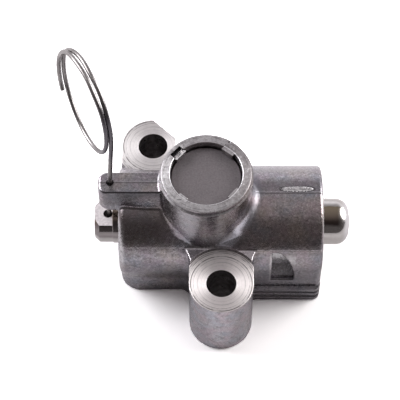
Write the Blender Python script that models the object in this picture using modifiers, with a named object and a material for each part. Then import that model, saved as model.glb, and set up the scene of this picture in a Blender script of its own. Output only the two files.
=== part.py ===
"""Balance shaft chain tensioner: cast body, locked plunger, check valve, reservoir cap and pull pin.

The origin is on the mounting face, under the axis of the round reservoir boss.
+X is the way the plunger pushes, +Y points to the rear bolt ear and +Z is up from the engine block.
All sizes are in metres.
"""
import math

import bmesh
import bpy
from mathutils import Matrix, Vector

MM = 0.001

# Clearances
GAP = 0.3 * MM
RUNNING_GAP = 0.6 * MM

# Plunger and the walls round it, from the nose outwards
NOSE_R = 5.54 * MM
NOSE_TIP_X = 34.4 * MM
NOSE_CORNER_R = 2.7 * MM
NOSE_CROWN = 0.35 * MM
ROD_STEP = 0.39 * MM
TAIL_STEP = 0.2 * MM
BUSH_WALL = 2.76 * MM
BUSH_SHOULDER = 1.4 * MM
BARREL_WALL = 4.45 * MM
REAR_BARREL_STEP = 0.55 * MM
ROD_R = NOSE_R - ROD_STEP
TAIL_R = ROD_R - TAIL_STEP
COUNTERBORE_R = NOSE_R + GAP + BUSH_WALL + GAP
BORE_R = COUNTERBORE_R - BUSH_SHOULDER

# Barrel of the casting, which lies along X and touches the mounting face
BARREL_R = COUNTERBORE_R + BARREL_WALL
REAR_BARREL_R = BARREL_R - REAR_BARREL_STEP
BARREL_FRONT_X = 27.4 * MM
BARREL_REAR_X = -20.55 * MM
BARREL_STEP_X = 2.0 * MM
BARREL_EDGE_R = 1.0 * MM
REAR_BARREL_EDGE_R = 1.8 * MM
AXIS_Z = BARREL_R

# Blocks that square the barrel off down to the mounting face
FRONT_BLOCK_PROUD = 0.1 * MM
FRONT_BLOCK_HALF = BARREL_R + FRONT_BLOCK_PROUD
RIB_PROUD = 0.8 * MM
FRONT_RIB_HALF = FRONT_BLOCK_HALF + RIB_PROUD
REAR_BLOCK_INSET = 1.3 * MM
REAR_BLOCK_HALF = REAR_BARREL_R - REAR_BLOCK_INSET
FRONT_BLOCK_CORNER_R = 1.4 * MM
REAR_BLOCK_CORNER_R = 4.7 * MM
RIB_COUNT = 3
RIB_HEIGHT = 1.4 * MM
RIB_PITCH = 2.0 * MM

# Bolt ears
BOLT_HOLE_R = 3.5 * MM
EAR_WALL = 4.0 * MM
EAR_R = BOLT_HOLE_R + EAR_WALL
EAR_FACE_Z = 19.3 * MM
EAR_CAST_RISE = 0.7 * MM
EAR_ROOT_FILLET = 1.5 * MM
SPOT_FACE_OVERLAP = 1.5 * MM
SPOT_FACE_R = EAR_R + SPOT_FACE_OVERLAP
FRONT_HOLE_X = 3.5 * MM
FRONT_HOLE_Y = -19.9 * MM
REAR_HOLE_X = -12.8 * MM
REAR_HOLE_Y = 17.55 * MM
REAR_EAR_CUT = 2.15 * MM
REAR_EAR_FLAT = EAR_R - REAR_EAR_CUT
REAR_EAR_FLAT_ANGLE = math.radians(46)
REAR_EAR_ROOT_Y = 4.0 * MM

# Reservoir boss and its cap
BOSS_R = 10.85 * MM
BOSS_TOP_RISE = 22.35 * MM
BOSS_TOP_Z = AXIS_Z + BOSS_TOP_RISE
RIM_STEP = 0.45 * MM
RIM_R = BOSS_R - RIM_STEP
RIM_HEIGHT = 1.3 * MM
RIM_CHAMFER = 0.25 * MM
RIM_WALL = 2.05 * MM
MOUTH_R = RIM_R - RIM_WALL
CAP_RECESS = 1.9 * MM
CAP_THICKNESS = 2.05 * MM
CAP_SEAL_WIRE_R = 0.5 * MM
CAP_LEDGE = 1.35 * MM
RESERVOIR_R = MOUTH_R - CAP_LEDGE
RESERVOIR_DEPTH = 4.15 * MM
STAKE_ANGLES = [math.radians(angle) for angle in (50, 140, 230, 320)]
STAKE_LENGTH = 3.4 * MM
STAKE_REACH = 0.75 * MM
STAKE_HEIGHT = 1.1 * MM
STAKE_WALL = 0.5 * MM
STAKE_SLOT_WIDTH = 0.7 * MM
STAKE_SLOT_DEPTH = 1.1 * MM

# Bore and the pieces along it, from the front of the barrel to the back
COUNTERBORE_CHAMFER = 0.4 * MM
FRONT_LIP = 1.2 * MM
SNAP_RING_THICKNESS = 0.9 * MM
SNAP_RING_WIDTH = 2.1 * MM
SNAP_GROOVE_DEPTH = 0.9 * MM
SNAP_RING_OPENING = math.radians(40)
WASHER_THICKNESS = 0.8 * MM
WIPER_THICKNESS = 1.4 * MM
BUSH_LENGTH = 4.6 * MM
BUSH_SEAL_WIRE_R = 0.5 * MM
STROKE = 8.0 * MM
COLLAR_LENGTH = 4.0 * MM
PISTON_RING_WIDTH = 1.3 * MM
PISTON_RING_DEPTH = 0.7 * MM
REAR_WALL = 5.95 * MM
ROD_SEAL_THICKNESS = 1.6 * MM
SPRING_SEAT_THICKNESS = 1.2 * MM
SPRING_WIRE_R = 0.7 * MM
SPRING_TURNS = 5.5

# Tail of the plunger
TAIL_TIP_X = -26.5 * MM
TAIL_LENGTH = 4.3 * MM
TAIL_CHAMFER = 1.1 * MM
TAIL_FLAT_DEPTH = 1.25 * MM
PIN_WIRE_R = 0.525 * MM
PIN_HOLE_GAP = 0.575 * MM
PIN_HOLE_R = PIN_WIRE_R + PIN_HOLE_GAP
PIN_HOLE_INSET = 3.15 * MM
PIN_HOLE_DEPTH = 3.4 * MM

# Check valve under the reservoir
VALVE_WALL = 1.05 * MM
VALVE_POCKET_R = 4.2 * MM
VALVE_OUTLET_R = 1.6 * MM
VALVE_SEAL_HEIGHT = 2.5 * MM
VALVE_SEAL_WIRE_R = 0.4 * MM
CAGE_WALL = 0.7 * MM
CAGE_FLOOR = 0.6 * MM
CAGE_PORT_R = 1.4 * MM
VALVE_SPRING_WIRE_R = 0.2 * MM
VALVE_SPRING_HEIGHT = 1.3 * MM
VALVE_SPRING_TURNS = 2
BALL_R = 1.4 * MM
SEAT_PORT_R = 1.1 * MM
SEAT_THICKNESS = 1.0 * MM
SCREEN_THICKNESS = 0.3 * MM
SCREEN_HOLE_R = 0.4 * MM
SCREEN_HOLES = 6
SCREEN_EDGE = 1.16 * MM

# Oil feed from the engine block: a riser beside the bore and a slanting drilling into the reservoir
FEED_R = 0.8 * MM
FEED_INSET = 3.0 * MM
FEED_X = BARREL_STEP_X + FEED_INSET
FEED_WALL = 0.9 * MM
FEED_RISE = 2.0 * MM

# Pocket cored into the front flank
POCKET_LEFT_X = 15.45 * MM
POCKET_WIDTH = 5.3 * MM
POCKET_DROP = 4.6 * MM
POCKET_BOTTOM_Z = AXIS_Z - POCKET_DROP
POCKET_HEIGHT = 10.2 * MM
POCKET_ARC_WIDTH = 4.5 * MM
POCKET_ARC_HEIGHT = 8.7 * MM
POCKET_DEPTH = 3.2 * MM

# Lug over the tail, and the pull pin that locks the plunger through it
LUG_HALF = 2.78 * MM
LUG_END_X = -25.0 * MM
LUG_RISE = 10.45 * MM
LUG_BOTTOM_Z = AXIS_Z + LUG_RISE
LUG_HEIGHT = 7.65 * MM
LUG_TOP_Z = LUG_BOTTOM_Z + LUG_HEIGHT
LUG_EDGE_R = 0.9 * MM
PIN_LEAN = math.radians(3.4)
PIN_DEPTH = 2.4 * MM
PIN_OFFSET = 0.27 * MM
LUG_HOLE_GAP = 0.375 * MM
RING_R = 12.06 * MM
RING_RISE = 32.43 * MM
RING_AZIMUTH = math.radians(116.7)
RING_TILT = math.radians(-3.9)
RING_SWEEP = math.radians(577)
RING_STRAND_GAP = 0.15 * MM
RING_PITCH = 2 * PIN_WIRE_R + RING_STRAND_GAP
RING_POINTS_PER_TURN = 30

# Facets around the round pieces
LARGE_SEGMENTS = 48
MEDIUM_SEGMENTS = 32
SMALL_SEGMENTS = 16

# Stations along the bore that follow from the sizes above
SNAP_GROOVE_WIDTH = SNAP_RING_THICKNESS + 2 * GAP
SNAP_GROOVE_X = BARREL_FRONT_X - FRONT_LIP - SNAP_GROOVE_WIDTH
WASHER_X = SNAP_GROOVE_X - WASHER_THICKNESS
WIPER_X = WASHER_X - GAP - WIPER_THICKNESS
BUSH_X = WIPER_X - GAP - BUSH_LENGTH
COUNTERBORE_FLOOR_X = BUSH_X - GAP
COLLAR_FRONT_X = COUNTERBORE_FLOOR_X - STROKE
COLLAR_BACK_X = COLLAR_FRONT_X - COLLAR_LENGTH
COLLAR_R = BORE_R - RUNNING_GAP
BORE_FLOOR_X = BARREL_REAR_X + REAR_WALL
ROD_SEAL_X = BORE_FLOOR_X + GAP
SPRING_SEAT_X = ROD_SEAL_X + ROD_SEAL_THICKNESS + GAP
SPRING_BACK_X = SPRING_SEAT_X + SPRING_SEAT_THICKNESS + GAP
SPRING_FRONT_X = COLLAR_BACK_X - GAP
TAIL_SHOULDER_X = TAIL_TIP_X + TAIL_LENGTH
SEAL_R = BORE_R - GAP
FRONT_SEAL_R = COUNTERBORE_R - GAP

# Heights in the boss that follow from the sizes above
CAP_TOP_Z = BOSS_TOP_Z - CAP_RECESS
CAP_BOTTOM_Z = CAP_TOP_Z - CAP_THICKNESS
CAP_SEAL_Z = CAP_BOTTOM_Z - GAP - CAP_SEAL_WIRE_R
LEDGE_Z = CAP_SEAL_Z - CAP_SEAL_WIRE_R - GAP
RESERVOIR_FLOOR_Z = LEDGE_Z - RESERVOIR_DEPTH
VALVE_POCKET_Z = AXIS_Z + BORE_R + VALVE_WALL
CAGE_Z = VALVE_POCKET_Z + GAP
CAGE_R = VALVE_POCKET_R - GAP
CAGE_INNER_R = CAGE_R - CAGE_WALL
VALVE_SPRING_Z = CAGE_Z + CAGE_FLOOR + GAP
BALL_Z = VALVE_SPRING_Z + VALVE_SPRING_HEIGHT + GAP + BALL_R
SEAT_Z = BALL_Z + math.sqrt((BALL_R + GAP) ** 2 - SEAT_PORT_R ** 2)
SCREEN_Z = SEAT_Z + SEAT_THICKNESS + GAP
CAGE_TOP_Z = SCREEN_Z + SCREEN_THICKNESS + GAP
VALVE_SEAL_Z = VALVE_POCKET_Z + VALVE_SEAL_HEIGHT

# Pull pin places that follow from the sizes above
EAR_CAST_Z = EAR_FACE_Z + EAR_CAST_RISE
TAIL_FLAT_Z = AXIS_Z + TAIL_R - TAIL_FLAT_DEPTH
PIN_HOLE_X = TAIL_TIP_X + PIN_HOLE_INSET
PIN_X = PIN_HOLE_X + PIN_OFFSET
PIN_TIP_Z = TAIL_FLAT_Z - PIN_DEPTH
RING_CENTRE_Z = TAIL_FLAT_Z + RING_RISE

OVERRUN = 1.0 * MM
MERGE_DISTANCE = 0.000001


def clear_scene():
    """Remove whatever the opened file holds."""
    for old in list(bpy.data.objects):
        bpy.data.objects.remove(old, do_unlink=True)


def new_collection(name):
    """Add a collection to the scene."""
    collection = bpy.data.collections.new(name)
    bpy.context.scene.collection.children.link(collection)
    return collection


def material(name, colour, metallic, roughness):
    """Make a plain surface of one colour."""
    surface = bpy.data.materials.new(name)
    surface.use_nodes = True
    shader = surface.node_tree.nodes["Principled BSDF"]
    shader.inputs["Base Color"].default_value = (*colour, 1.0)
    shader.inputs["Metallic"].default_value = metallic
    shader.inputs["Roughness"].default_value = roughness
    surface.diffuse_color = (*colour, 1.0)
    return surface


def move_to(piece, collection):
    """Keep an object in one collection only."""
    for holder in list(piece.users_collection):
        holder.objects.unlink(piece)
    collection.objects.link(piece)


def cutter(piece):
    """Hide a shape that only helps to make another."""
    move_to(piece, CUTTERS)
    piece.hide_render = True
    piece.display_type = "WIRE"
    return piece


def finish(piece, surface):
    """Keep a shape as a sub-part, with its material and smooth round faces."""
    move_to(piece, PARTS)
    piece.data.materials.clear()
    piece.data.materials.append(surface)
    piece.data.shade_smooth()
    piece.data.set_sharp_from_angle(angle=math.radians(35))
    return piece


def arc(centre_x, centre_y, radius, start, end, count):
    """Points along a circular arc, with both ends."""
    angles = [start + (end - start) * step / count for step in range(count + 1)]
    return [(centre_x + radius * math.cos(a), centre_y + radius * math.sin(a)) for a in angles]


def turned(name, profile, axis, segments, closed=False):
    """Turn a profile of (radius, height) points about the given axis, heights along it.

    An open profile starts and ends on the axis and runs down its outer side from the top.
    A closed one runs down its outer side and back up its inner side.
    """
    mesh = bpy.data.meshes.new(name)
    count = len(profile)
    edges = [(i, (i + 1) % count) for i in range(count if closed else count - 1)]
    mesh.from_pydata([(radius, 0.0, height) for radius, height in profile], edges, [])
    piece = bpy.data.objects.new(name, mesh)
    bpy.context.scene.collection.objects.link(piece)
    screw = piece.modifiers.new("Turn", "SCREW")
    screw.steps = segments
    screw.render_steps = segments
    screw.use_merge_vertices = True
    screw.merge_threshold = MERGE_DISTANCE
    screw.use_smooth_shade = False
    if axis == "X":
        piece.rotation_euler = (0.0, math.pi / 2, 0.0)
        piece.location = (0.0, 0.0, AXIS_Z)
    return piece


def baked(piece):
    """Apply the modifiers and the placing of an object, so that it can be cut and joined."""
    bpy.context.view_layer.update()
    evaluated = piece.evaluated_get(bpy.context.evaluated_depsgraph_get())
    mesh = bpy.data.meshes.new_from_object(evaluated)
    mesh.transform(piece.matrix_world)
    solid = bpy.data.objects.new(piece.name, mesh)
    name = piece.name
    bpy.context.scene.collection.objects.link(solid)
    bpy.data.objects.remove(piece, do_unlink=True)
    solid.name = name
    form = bmesh.new()
    form.from_mesh(mesh)
    bmesh.ops.remove_doubles(form, verts=form.verts, dist=MERGE_DISTANCE)
    bmesh.ops.recalc_face_normals(form, faces=form.faces)
    form.to_mesh(mesh)
    form.free()
    return solid


def combined(piece, other, operation):
    """Cut or join one shape with another and apply the result."""
    cutter(other)
    change = piece.modifiers.new(operation.title(), "BOOLEAN")
    change.operation = operation
    change.solver = "EXACT"
    change.object = other
    return baked(piece)


def outline_solid(name, points, bottom, top):
    """Raise a flat outline between two heights."""
    curve = bpy.data.curves.new(name, "CURVE")
    curve.dimensions = "2D"
    curve.fill_mode = "BOTH"
    curve.extrude = (top - bottom) / 2
    spline = curve.splines.new("POLY")
    spline.points.add(len(points) - 1)
    for point, (x, y) in zip(spline.points, points):
        point.co = (x, y, 0.0, 1.0)
    spline.use_cyclic_u = True
    piece = bpy.data.objects.new(name, curve)
    bpy.context.scene.collection.objects.link(piece)
    piece.location = (0.0, 0.0, (top + bottom) / 2)
    return baked(piece)


def block(name, low, high):
    """A box between two corners."""
    size = Vector(high) - Vector(low)
    bpy.ops.mesh.primitive_cube_add(size=1.0, location=(Vector(high) + Vector(low)) / 2)
    piece = bpy.context.object
    piece.name = name
    piece.data.transform(Matrix.Diagonal((*size, 1.0)))
    return piece


def rod(name, radius, start, end, segments):
    """A plain cylinder between two points."""
    start = Vector(start)
    end = Vector(end)
    bpy.ops.mesh.primitive_cylinder_add(vertices=segments, radius=radius, depth=(end - start).length)
    piece = bpy.context.object
    piece.name = name
    piece.rotation_euler = (end - start).to_track_quat("Z", "Y").to_euler()
    piece.location = (start + end) / 2
    return baked(piece)


def wire(name, points, radius):
    """A round wire through points."""
    curve = bpy.data.curves.new(name, "CURVE")
    curve.dimensions = "3D"
    curve.bevel_depth = radius
    curve.bevel_resolution = 2
    curve.use_fill_caps = True
    spline = curve.splines.new("POLY")
    spline.points.add(len(points) - 1)
    for point, place in zip(spline.points, points):
        point.co = (*place, 1.0)
    piece = bpy.data.objects.new(name, curve)
    bpy.context.scene.collection.objects.link(piece)
    return baked(piece)


def flat_ring(name, outer, inner, start, end, segments, axis="X"):
    """A plain ring between two stations on an axis."""
    profile = [(outer, end), (outer, start), (inner, start), (inner, end)]
    return baked(turned(name, profile, axis, segments, closed=True))


def round_seal(name, centre_r, wire_r, station, segments, axis):
    """A ring of round section."""
    sides = 8
    profile = arc(centre_r, station, wire_r, math.pi / 2, math.pi / 2 - 2 * math.pi, sides)[:-1]
    return baked(turned(name, profile, axis, segments, closed=True))


def coil(name, centre_r, wire_r, start, end, turns, axis, per_turn):
    """A compression spring whose outer faces lie at the two stations."""
    count = round(turns * per_turn)
    low = start + wire_r
    high = end - wire_r
    points = []
    for step in range(count + 1):
        angle = 2 * math.pi * turns * step / count
        along = low + (high - low) * step / count
        across = (centre_r * math.cos(angle), centre_r * math.sin(angle))
        if axis == "X":
            points.append((along, across[0], AXIS_Z + across[1]))
        else:
            points.append((across[0], across[1], along))
    return wire(name, points, wire_r)


def barrel():
    """The turned outside of the casting, narrower behind the boss."""
    front = BARREL_R - BARREL_EDGE_R
    rear = REAR_BARREL_R - REAR_BARREL_EDGE_R
    profile = [(0.0, BARREL_FRONT_X)]
    profile += arc(front, BARREL_FRONT_X - BARREL_EDGE_R, BARREL_EDGE_R, math.pi / 2, 0.0, 3)
    profile += [(BARREL_R, BARREL_STEP_X), (REAR_BARREL_R, BARREL_STEP_X)]
    profile += arc(rear, BARREL_REAR_X + REAR_BARREL_EDGE_R, REAR_BARREL_EDGE_R, 0.0, -math.pi / 2, 4)
    profile += [(0.0, BARREL_REAR_X)]
    return baked(turned("housing", profile, "X", LARGE_SEGMENTS))


def front_block_outline(half):
    """Plan of the front block, with its two round corners at the plunger end."""
    inset = FRONT_BLOCK_CORNER_R
    end = BARREL_FRONT_X - inset
    points = [(BARREL_STEP_X, half), (BARREL_STEP_X, -half)]
    points += arc(end, inset - half, inset, -math.pi / 2, 0.0, 4)
    points += arc(end, half - inset, inset, 0.0, math.pi / 2, 4)
    return points


def rear_block_outline():
    """Plan of the rear block, with its two round corners at the tail end."""
    half = REAR_BLOCK_HALF
    inset = REAR_BLOCK_CORNER_R
    end = BARREL_REAR_X + inset
    front = BARREL_STEP_X + OVERRUN
    points = [(front, -half), (front, half)]
    points += arc(end, half - inset, inset, math.pi / 2, math.pi, 6)
    points += arc(end, inset - half, inset, math.pi, 3 * math.pi / 2, 6)
    return points


def front_ear_outline():
    """Plan of the front ear, which widens where it joins the two blocks."""
    fillet = EAR_ROOT_FILLET
    right = FRONT_HOLE_X + EAR_R
    left = FRONT_HOLE_X - EAR_R
    right_wall = -FRONT_BLOCK_HALF
    left_wall = -REAR_BLOCK_HALF
    inside = left_wall + 2 * fillet
    points = [(left - fillet, inside)]
    points += arc(left - fillet, left_wall - fillet, fillet, math.pi / 2, 0.0, 4)
    points += arc(FRONT_HOLE_X, FRONT_HOLE_Y, EAR_R, math.pi, 2 * math.pi, 20)
    points += arc(right + fillet, right_wall - fillet, fillet, math.pi, math.pi / 2, 4)
    points += [(right + fillet, inside)]
    return points


def rear_ear_outline():
    """Plan of the rear ear, whose outer side is cut off by a slanting flat."""
    half_chord = math.acos(REAR_EAR_FLAT / EAR_R)
    side = REAR_HOLE_X + REAR_EAR_FLAT
    drop = (REAR_EAR_FLAT - REAR_EAR_FLAT * math.cos(REAR_EAR_FLAT_ANGLE)) / math.sin(REAR_EAR_FLAT_ANGLE)
    points = [(REAR_HOLE_X - EAR_R, REAR_EAR_ROOT_Y)]
    points += arc(REAR_HOLE_X, REAR_HOLE_Y, EAR_R, math.pi, REAR_EAR_FLAT_ANGLE + half_chord, 12)
    points += [(side, REAR_HOLE_Y + drop), (side, REAR_EAR_ROOT_Y)]
    return points


def boss():
    """The round reservoir boss with its machined rim, rising out of the barrel."""
    shoulder = BOSS_TOP_Z - RIM_HEIGHT
    step = BOSS_R - RIM_R
    profile = [(0.0, BOSS_TOP_Z), (RIM_R - RIM_CHAMFER, BOSS_TOP_Z), (RIM_R, BOSS_TOP_Z - RIM_CHAMFER)]
    profile += arc(RIM_R, shoulder - step, step, math.pi / 2, 0.0, 3)
    profile += [(BOSS_R, AXIS_Z), (0.0, AXIS_Z)]
    return baked(turned("boss", profile, "Z", LARGE_SEGMENTS))


def lug():
    """The upright web over the tail, with rounded edges."""
    piece = block("lug", (LUG_END_X, -LUG_HALF, LUG_BOTTOM_Z), (-MOUTH_R, LUG_HALF, LUG_TOP_Z))
    edges = piece.modifiers.new("Edges", "BEVEL")
    edges.width = LUG_EDGE_R
    edges.segments = 3
    edges.limit_method = "NONE"
    return baked(piece)


def bore_cutter():
    """The stepped bore, its snap ring groove and the hole for the rod in the rear wall."""
    chamfer = COUNTERBORE_CHAMFER + OVERRUN
    groove_r = COUNTERBORE_R + SNAP_GROOVE_DEPTH
    groove_front = SNAP_GROOVE_X + SNAP_GROOVE_WIDTH
    profile = [
        (0.0, BARREL_FRONT_X + OVERRUN),
        (COUNTERBORE_R + chamfer, BARREL_FRONT_X + OVERRUN),
        (COUNTERBORE_R, BARREL_FRONT_X - COUNTERBORE_CHAMFER),
        (COUNTERBORE_R, groove_front),
        (groove_r, groove_front),
        (groove_r, SNAP_GROOVE_X),
        (COUNTERBORE_R, SNAP_GROOVE_X),
        (COUNTERBORE_R, COUNTERBORE_FLOOR_X),
        (BORE_R, COUNTERBORE_FLOOR_X),
        (BORE_R, BORE_FLOOR_X),
        (ROD_R + GAP, BORE_FLOOR_X),
        (ROD_R + GAP, BARREL_REAR_X - OVERRUN),
        (0.0, BARREL_REAR_X - OVERRUN),
    ]
    return baked(turned("bore_cutter", profile, "X", LARGE_SEGMENTS))


def reservoir_cutter():
    """The mouth for the cap, the reservoir, the valve pocket with its seal groove and the outlet."""
    groove_half = VALVE_SEAL_WIRE_R + GAP
    groove_r = CAGE_R + 2 * GAP + 2 * VALVE_SEAL_WIRE_R + GAP
    mouth_top = BOSS_TOP_Z + OVERRUN
    profile = [
        (0.0, mouth_top),
        (MOUTH_R + RIM_CHAMFER + OVERRUN, mouth_top),
        (MOUTH_R, BOSS_TOP_Z - RIM_CHAMFER),
        (MOUTH_R, LEDGE_Z),
        (RESERVOIR_R, LEDGE_Z),
        (RESERVOIR_R, RESERVOIR_FLOOR_Z),
        (VALVE_POCKET_R, RESERVOIR_FLOOR_Z),
        (VALVE_POCKET_R, VALVE_SEAL_Z + groove_half),
        (groove_r, VALVE_SEAL_Z + groove_half),
        (groove_r, VALVE_SEAL_Z - groove_half),
        (VALVE_POCKET_R, VALVE_SEAL_Z - groove_half),
        (VALVE_POCKET_R, VALVE_POCKET_Z),
        (VALVE_OUTLET_R, VALVE_POCKET_Z),
        (VALVE_OUTLET_R, AXIS_Z + BORE_R - OVERRUN),
        (0.0, AXIS_Z + BORE_R - OVERRUN),
    ]
    return baked(turned("reservoir_cutter", profile, "Z", LARGE_SEGMENTS))


def pocket_cutter():
    """The pocket in the front flank: straight on three sides, with a quarter ellipse at its upper right."""
    right = POCKET_LEFT_X + POCKET_WIDTH
    top = POCKET_BOTTOM_Z + POCKET_HEIGHT
    centre_x = right - POCKET_ARC_WIDTH
    centre_z = top - POCKET_ARC_HEIGHT
    points = [(POCKET_LEFT_X, POCKET_BOTTOM_Z), (right, POCKET_BOTTOM_Z)]
    for step in range(9):
        angle = math.pi / 2 * step / 8
        x = centre_x + POCKET_ARC_WIDTH * math.cos(angle)
        points.append((x, centre_z + POCKET_ARC_HEIGHT * math.sin(angle)))
    points += [(POCKET_LEFT_X, top)]
    floor = FRONT_BLOCK_HALF - POCKET_DEPTH
    piece = outline_solid("pocket_cutter", points, floor, FRONT_RIB_HALF + OVERRUN)
    piece.rotation_euler = (math.pi / 2, 0.0, 0.0)
    return baked(piece)


def feed_cutter():
    """The oil feed, a riser under the side wall of the block that meets a drilling from the reservoir."""
    riser_y = FRONT_BLOCK_HALF - FEED_WALL - FEED_R
    elbow = (FEED_X, riser_y, AXIS_Z + FEED_RISE)
    mouth_y = math.sqrt(RESERVOIR_R ** 2 - FEED_X ** 2) - FEED_R
    mouth = (FEED_X, mouth_y, RESERVOIR_FLOOR_Z + RESERVOIR_DEPTH / 2)
    riser = rod("feed_riser", FEED_R, (FEED_X, riser_y, -OVERRUN), elbow, SMALL_SEGMENTS)
    return combined(riser, rod("feed_drilling", FEED_R, elbow, mouth, SMALL_SEGMENTS), "UNION")


def turned_about_boss(piece, angle):
    """Swing a shape round the boss axis."""
    piece.data.transform(Matrix.Rotation(angle, 4, "Z"))
    return piece


def stake_slot(angle):
    """The punched slot behind one staked lip."""
    inner = MOUTH_R + STAKE_WALL
    low = (inner, -STAKE_LENGTH / 2, BOSS_TOP_Z - STAKE_SLOT_DEPTH)
    high = (inner + STAKE_SLOT_WIDTH, STAKE_LENGTH / 2, BOSS_TOP_Z + OVERRUN)
    return turned_about_boss(baked(block("stake_slot", low, high)), angle)


def stake_lip(angle):
    """One lip of the rim, pushed in over the edge of the cap."""
    low = (MOUTH_R - STAKE_REACH, -STAKE_LENGTH / 2, CAP_TOP_Z + GAP)
    high = (MOUTH_R + STAKE_WALL / 2, STAKE_LENGTH / 2, CAP_TOP_Z + GAP + STAKE_HEIGHT)
    return turned_about_boss(baked(block("stake_lip", low, high)), angle)


def pin_point(height):
    """The place on the pin's leaning leg at a height."""
    return Vector((PIN_X + (height - TAIL_FLAT_Z) * math.tan(PIN_LEAN), 0.0, height))


def housing():
    """The die-cast body: barrel, blocks, ears, boss and lug, then all that is machined into it.

    What stands on the mounting face first reaches below it, each piece to its own depth, and is trimmed there.
    """
    body = barrel()
    core = outline_solid("front_block", front_block_outline(FRONT_BLOCK_HALF), RIB_HEIGHT / 2, AXIS_Z)
    body = combined(body, core, "UNION")
    for index in range(RIB_COUNT):
        bottom = index * RIB_PITCH
        start = -OVERRUN if index == 0 else bottom
        rib = outline_solid("rib", front_block_outline(FRONT_RIB_HALF), start, bottom + RIB_HEIGHT)
        body = combined(body, rib, "UNION")
    rear = outline_solid("rear_block", rear_block_outline(), -2 * OVERRUN, AXIS_Z)
    body = combined(body, rear, "UNION")
    body = combined(body, outline_solid("front_ear", front_ear_outline(), -3 * OVERRUN, EAR_CAST_Z), "UNION")
    body = combined(body, outline_solid("rear_ear", rear_ear_outline(), -4 * OVERRUN, EAR_CAST_Z), "UNION")
    body = combined(body, boss(), "UNION")
    body = combined(body, lug(), "UNION")
    reach = BARREL_FRONT_X - BARREL_REAR_X
    trim = block("base_trim", (-reach, -reach, -reach), (reach, reach, 0.0))
    body = combined(body, trim, "DIFFERENCE")
    for x, y in ((FRONT_HOLE_X, FRONT_HOLE_Y), (REAR_HOLE_X, REAR_HOLE_Y)):
        face = rod("spot_face", SPOT_FACE_R, (x, y, EAR_FACE_Z), (x, y, LUG_BOTTOM_Z), LARGE_SEGMENTS)
        body = combined(body, face, "DIFFERENCE")
        hole = rod("bolt_hole", BOLT_HOLE_R, (x, y, -OVERRUN), (x, y, EAR_CAST_Z + OVERRUN), MEDIUM_SEGMENTS)
        body = combined(body, hole, "DIFFERENCE")
    body = combined(body, bore_cutter(), "DIFFERENCE")
    body = combined(body, reservoir_cutter(), "DIFFERENCE")
    body = combined(body, pocket_cutter(), "DIFFERENCE")
    body = combined(body, feed_cutter(), "DIFFERENCE")
    lug_hole_r = PIN_WIRE_R + LUG_HOLE_GAP
    drill = rod("lug_hole", lug_hole_r, pin_point(TAIL_FLAT_Z), pin_point(LUG_TOP_Z + OVERRUN), SMALL_SEGMENTS)
    body = combined(body, drill, "DIFFERENCE")
    for angle in STAKE_ANGLES:
        body = combined(body, stake_slot(angle), "DIFFERENCE")
        body = combined(body, stake_lip(angle), "UNION")
    return finish(body, ALUMINIUM)


def plunger():
    """The one-piece plunger: crowned nose, collar with a ring groove, rod, and flatted tail with a pin hole."""
    ring_floor = BORE_R - GAP - PISTON_RING_DEPTH - GAP
    ring_half = PISTON_RING_WIDTH / 2 + GAP
    ring_x = (COLLAR_FRONT_X + COLLAR_BACK_X) / 2
    corner = NOSE_R - NOSE_CORNER_R
    profile = [(0.0, NOSE_TIP_X)]
    profile += arc(corner, NOSE_TIP_X - NOSE_CROWN - NOSE_CORNER_R, NOSE_CORNER_R, math.pi / 2, 0.0, 6)
    profile += [
        (NOSE_R, COLLAR_FRONT_X),
        (COLLAR_R, COLLAR_FRONT_X),
        (COLLAR_R, ring_x + ring_half),
        (ring_floor, ring_x + ring_half),
        (ring_floor, ring_x - ring_half),
        (COLLAR_R, ring_x - ring_half),
        (COLLAR_R, COLLAR_BACK_X),
        (ROD_R, COLLAR_BACK_X),
        (ROD_R, TAIL_SHOULDER_X),
        (TAIL_R, TAIL_SHOULDER_X),
        (TAIL_R, TAIL_TIP_X + TAIL_CHAMFER),
        (TAIL_R - TAIL_CHAMFER, TAIL_TIP_X),
        (0.0, TAIL_TIP_X),
    ]
    body = baked(turned("plunger", profile, "X", MEDIUM_SEGMENTS))
    flat_low = (TAIL_TIP_X - OVERRUN, -ROD_R, TAIL_FLAT_Z)
    flat_high = (TAIL_SHOULDER_X, ROD_R, AXIS_Z + ROD_R + OVERRUN)
    body = combined(body, block("tail_flat", flat_low, flat_high), "DIFFERENCE")
    hole_bottom = (PIN_HOLE_X, 0.0, TAIL_FLAT_Z - PIN_HOLE_DEPTH)
    hole_top = (PIN_HOLE_X, 0.0, TAIL_FLAT_Z + OVERRUN)
    hole = rod("pin_hole", PIN_HOLE_R, hole_bottom, hole_top, SMALL_SEGMENTS)
    return finish(combined(body, hole, "DIFFERENCE"), POLISHED_STEEL)


def piston_ring():
    """The seal ring in the collar of the plunger."""
    middle = (COLLAR_FRONT_X + COLLAR_BACK_X) / 2
    half = PISTON_RING_WIDTH / 2
    ring = flat_ring("piston_ring", SEAL_R, SEAL_R - PISTON_RING_DEPTH, middle - half, middle + half,
                     MEDIUM_SEGMENTS)
    return finish(ring, DARK_POLYMER)


def main_spring():
    """The spring that pushes the collar of the plunger forwards once the pin is out."""
    centre_r = (ROD_R + BORE_R) / 2
    spring = coil("main_spring", centre_r, SPRING_WIRE_R, SPRING_BACK_X, SPRING_FRONT_X,
                  SPRING_TURNS, "X", 12)
    return finish(spring, SPRING_STEEL)


def spring_seat():
    """The washer between the spring and the rod seal."""
    end = SPRING_SEAT_X + SPRING_SEAT_THICKNESS
    return finish(flat_ring("spring_seat", SEAL_R, ROD_R + GAP, SPRING_SEAT_X, end, MEDIUM_SEGMENTS),
                  SPRING_STEEL)


def rear_rod_seal():
    """The lip seal round the rod, against the rear wall."""
    end = ROD_SEAL_X + ROD_SEAL_THICKNESS
    return finish(flat_ring("rear_rod_seal", SEAL_R, ROD_R + GAP, ROD_SEAL_X, end, MEDIUM_SEGMENTS), RUBBER)


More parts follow.
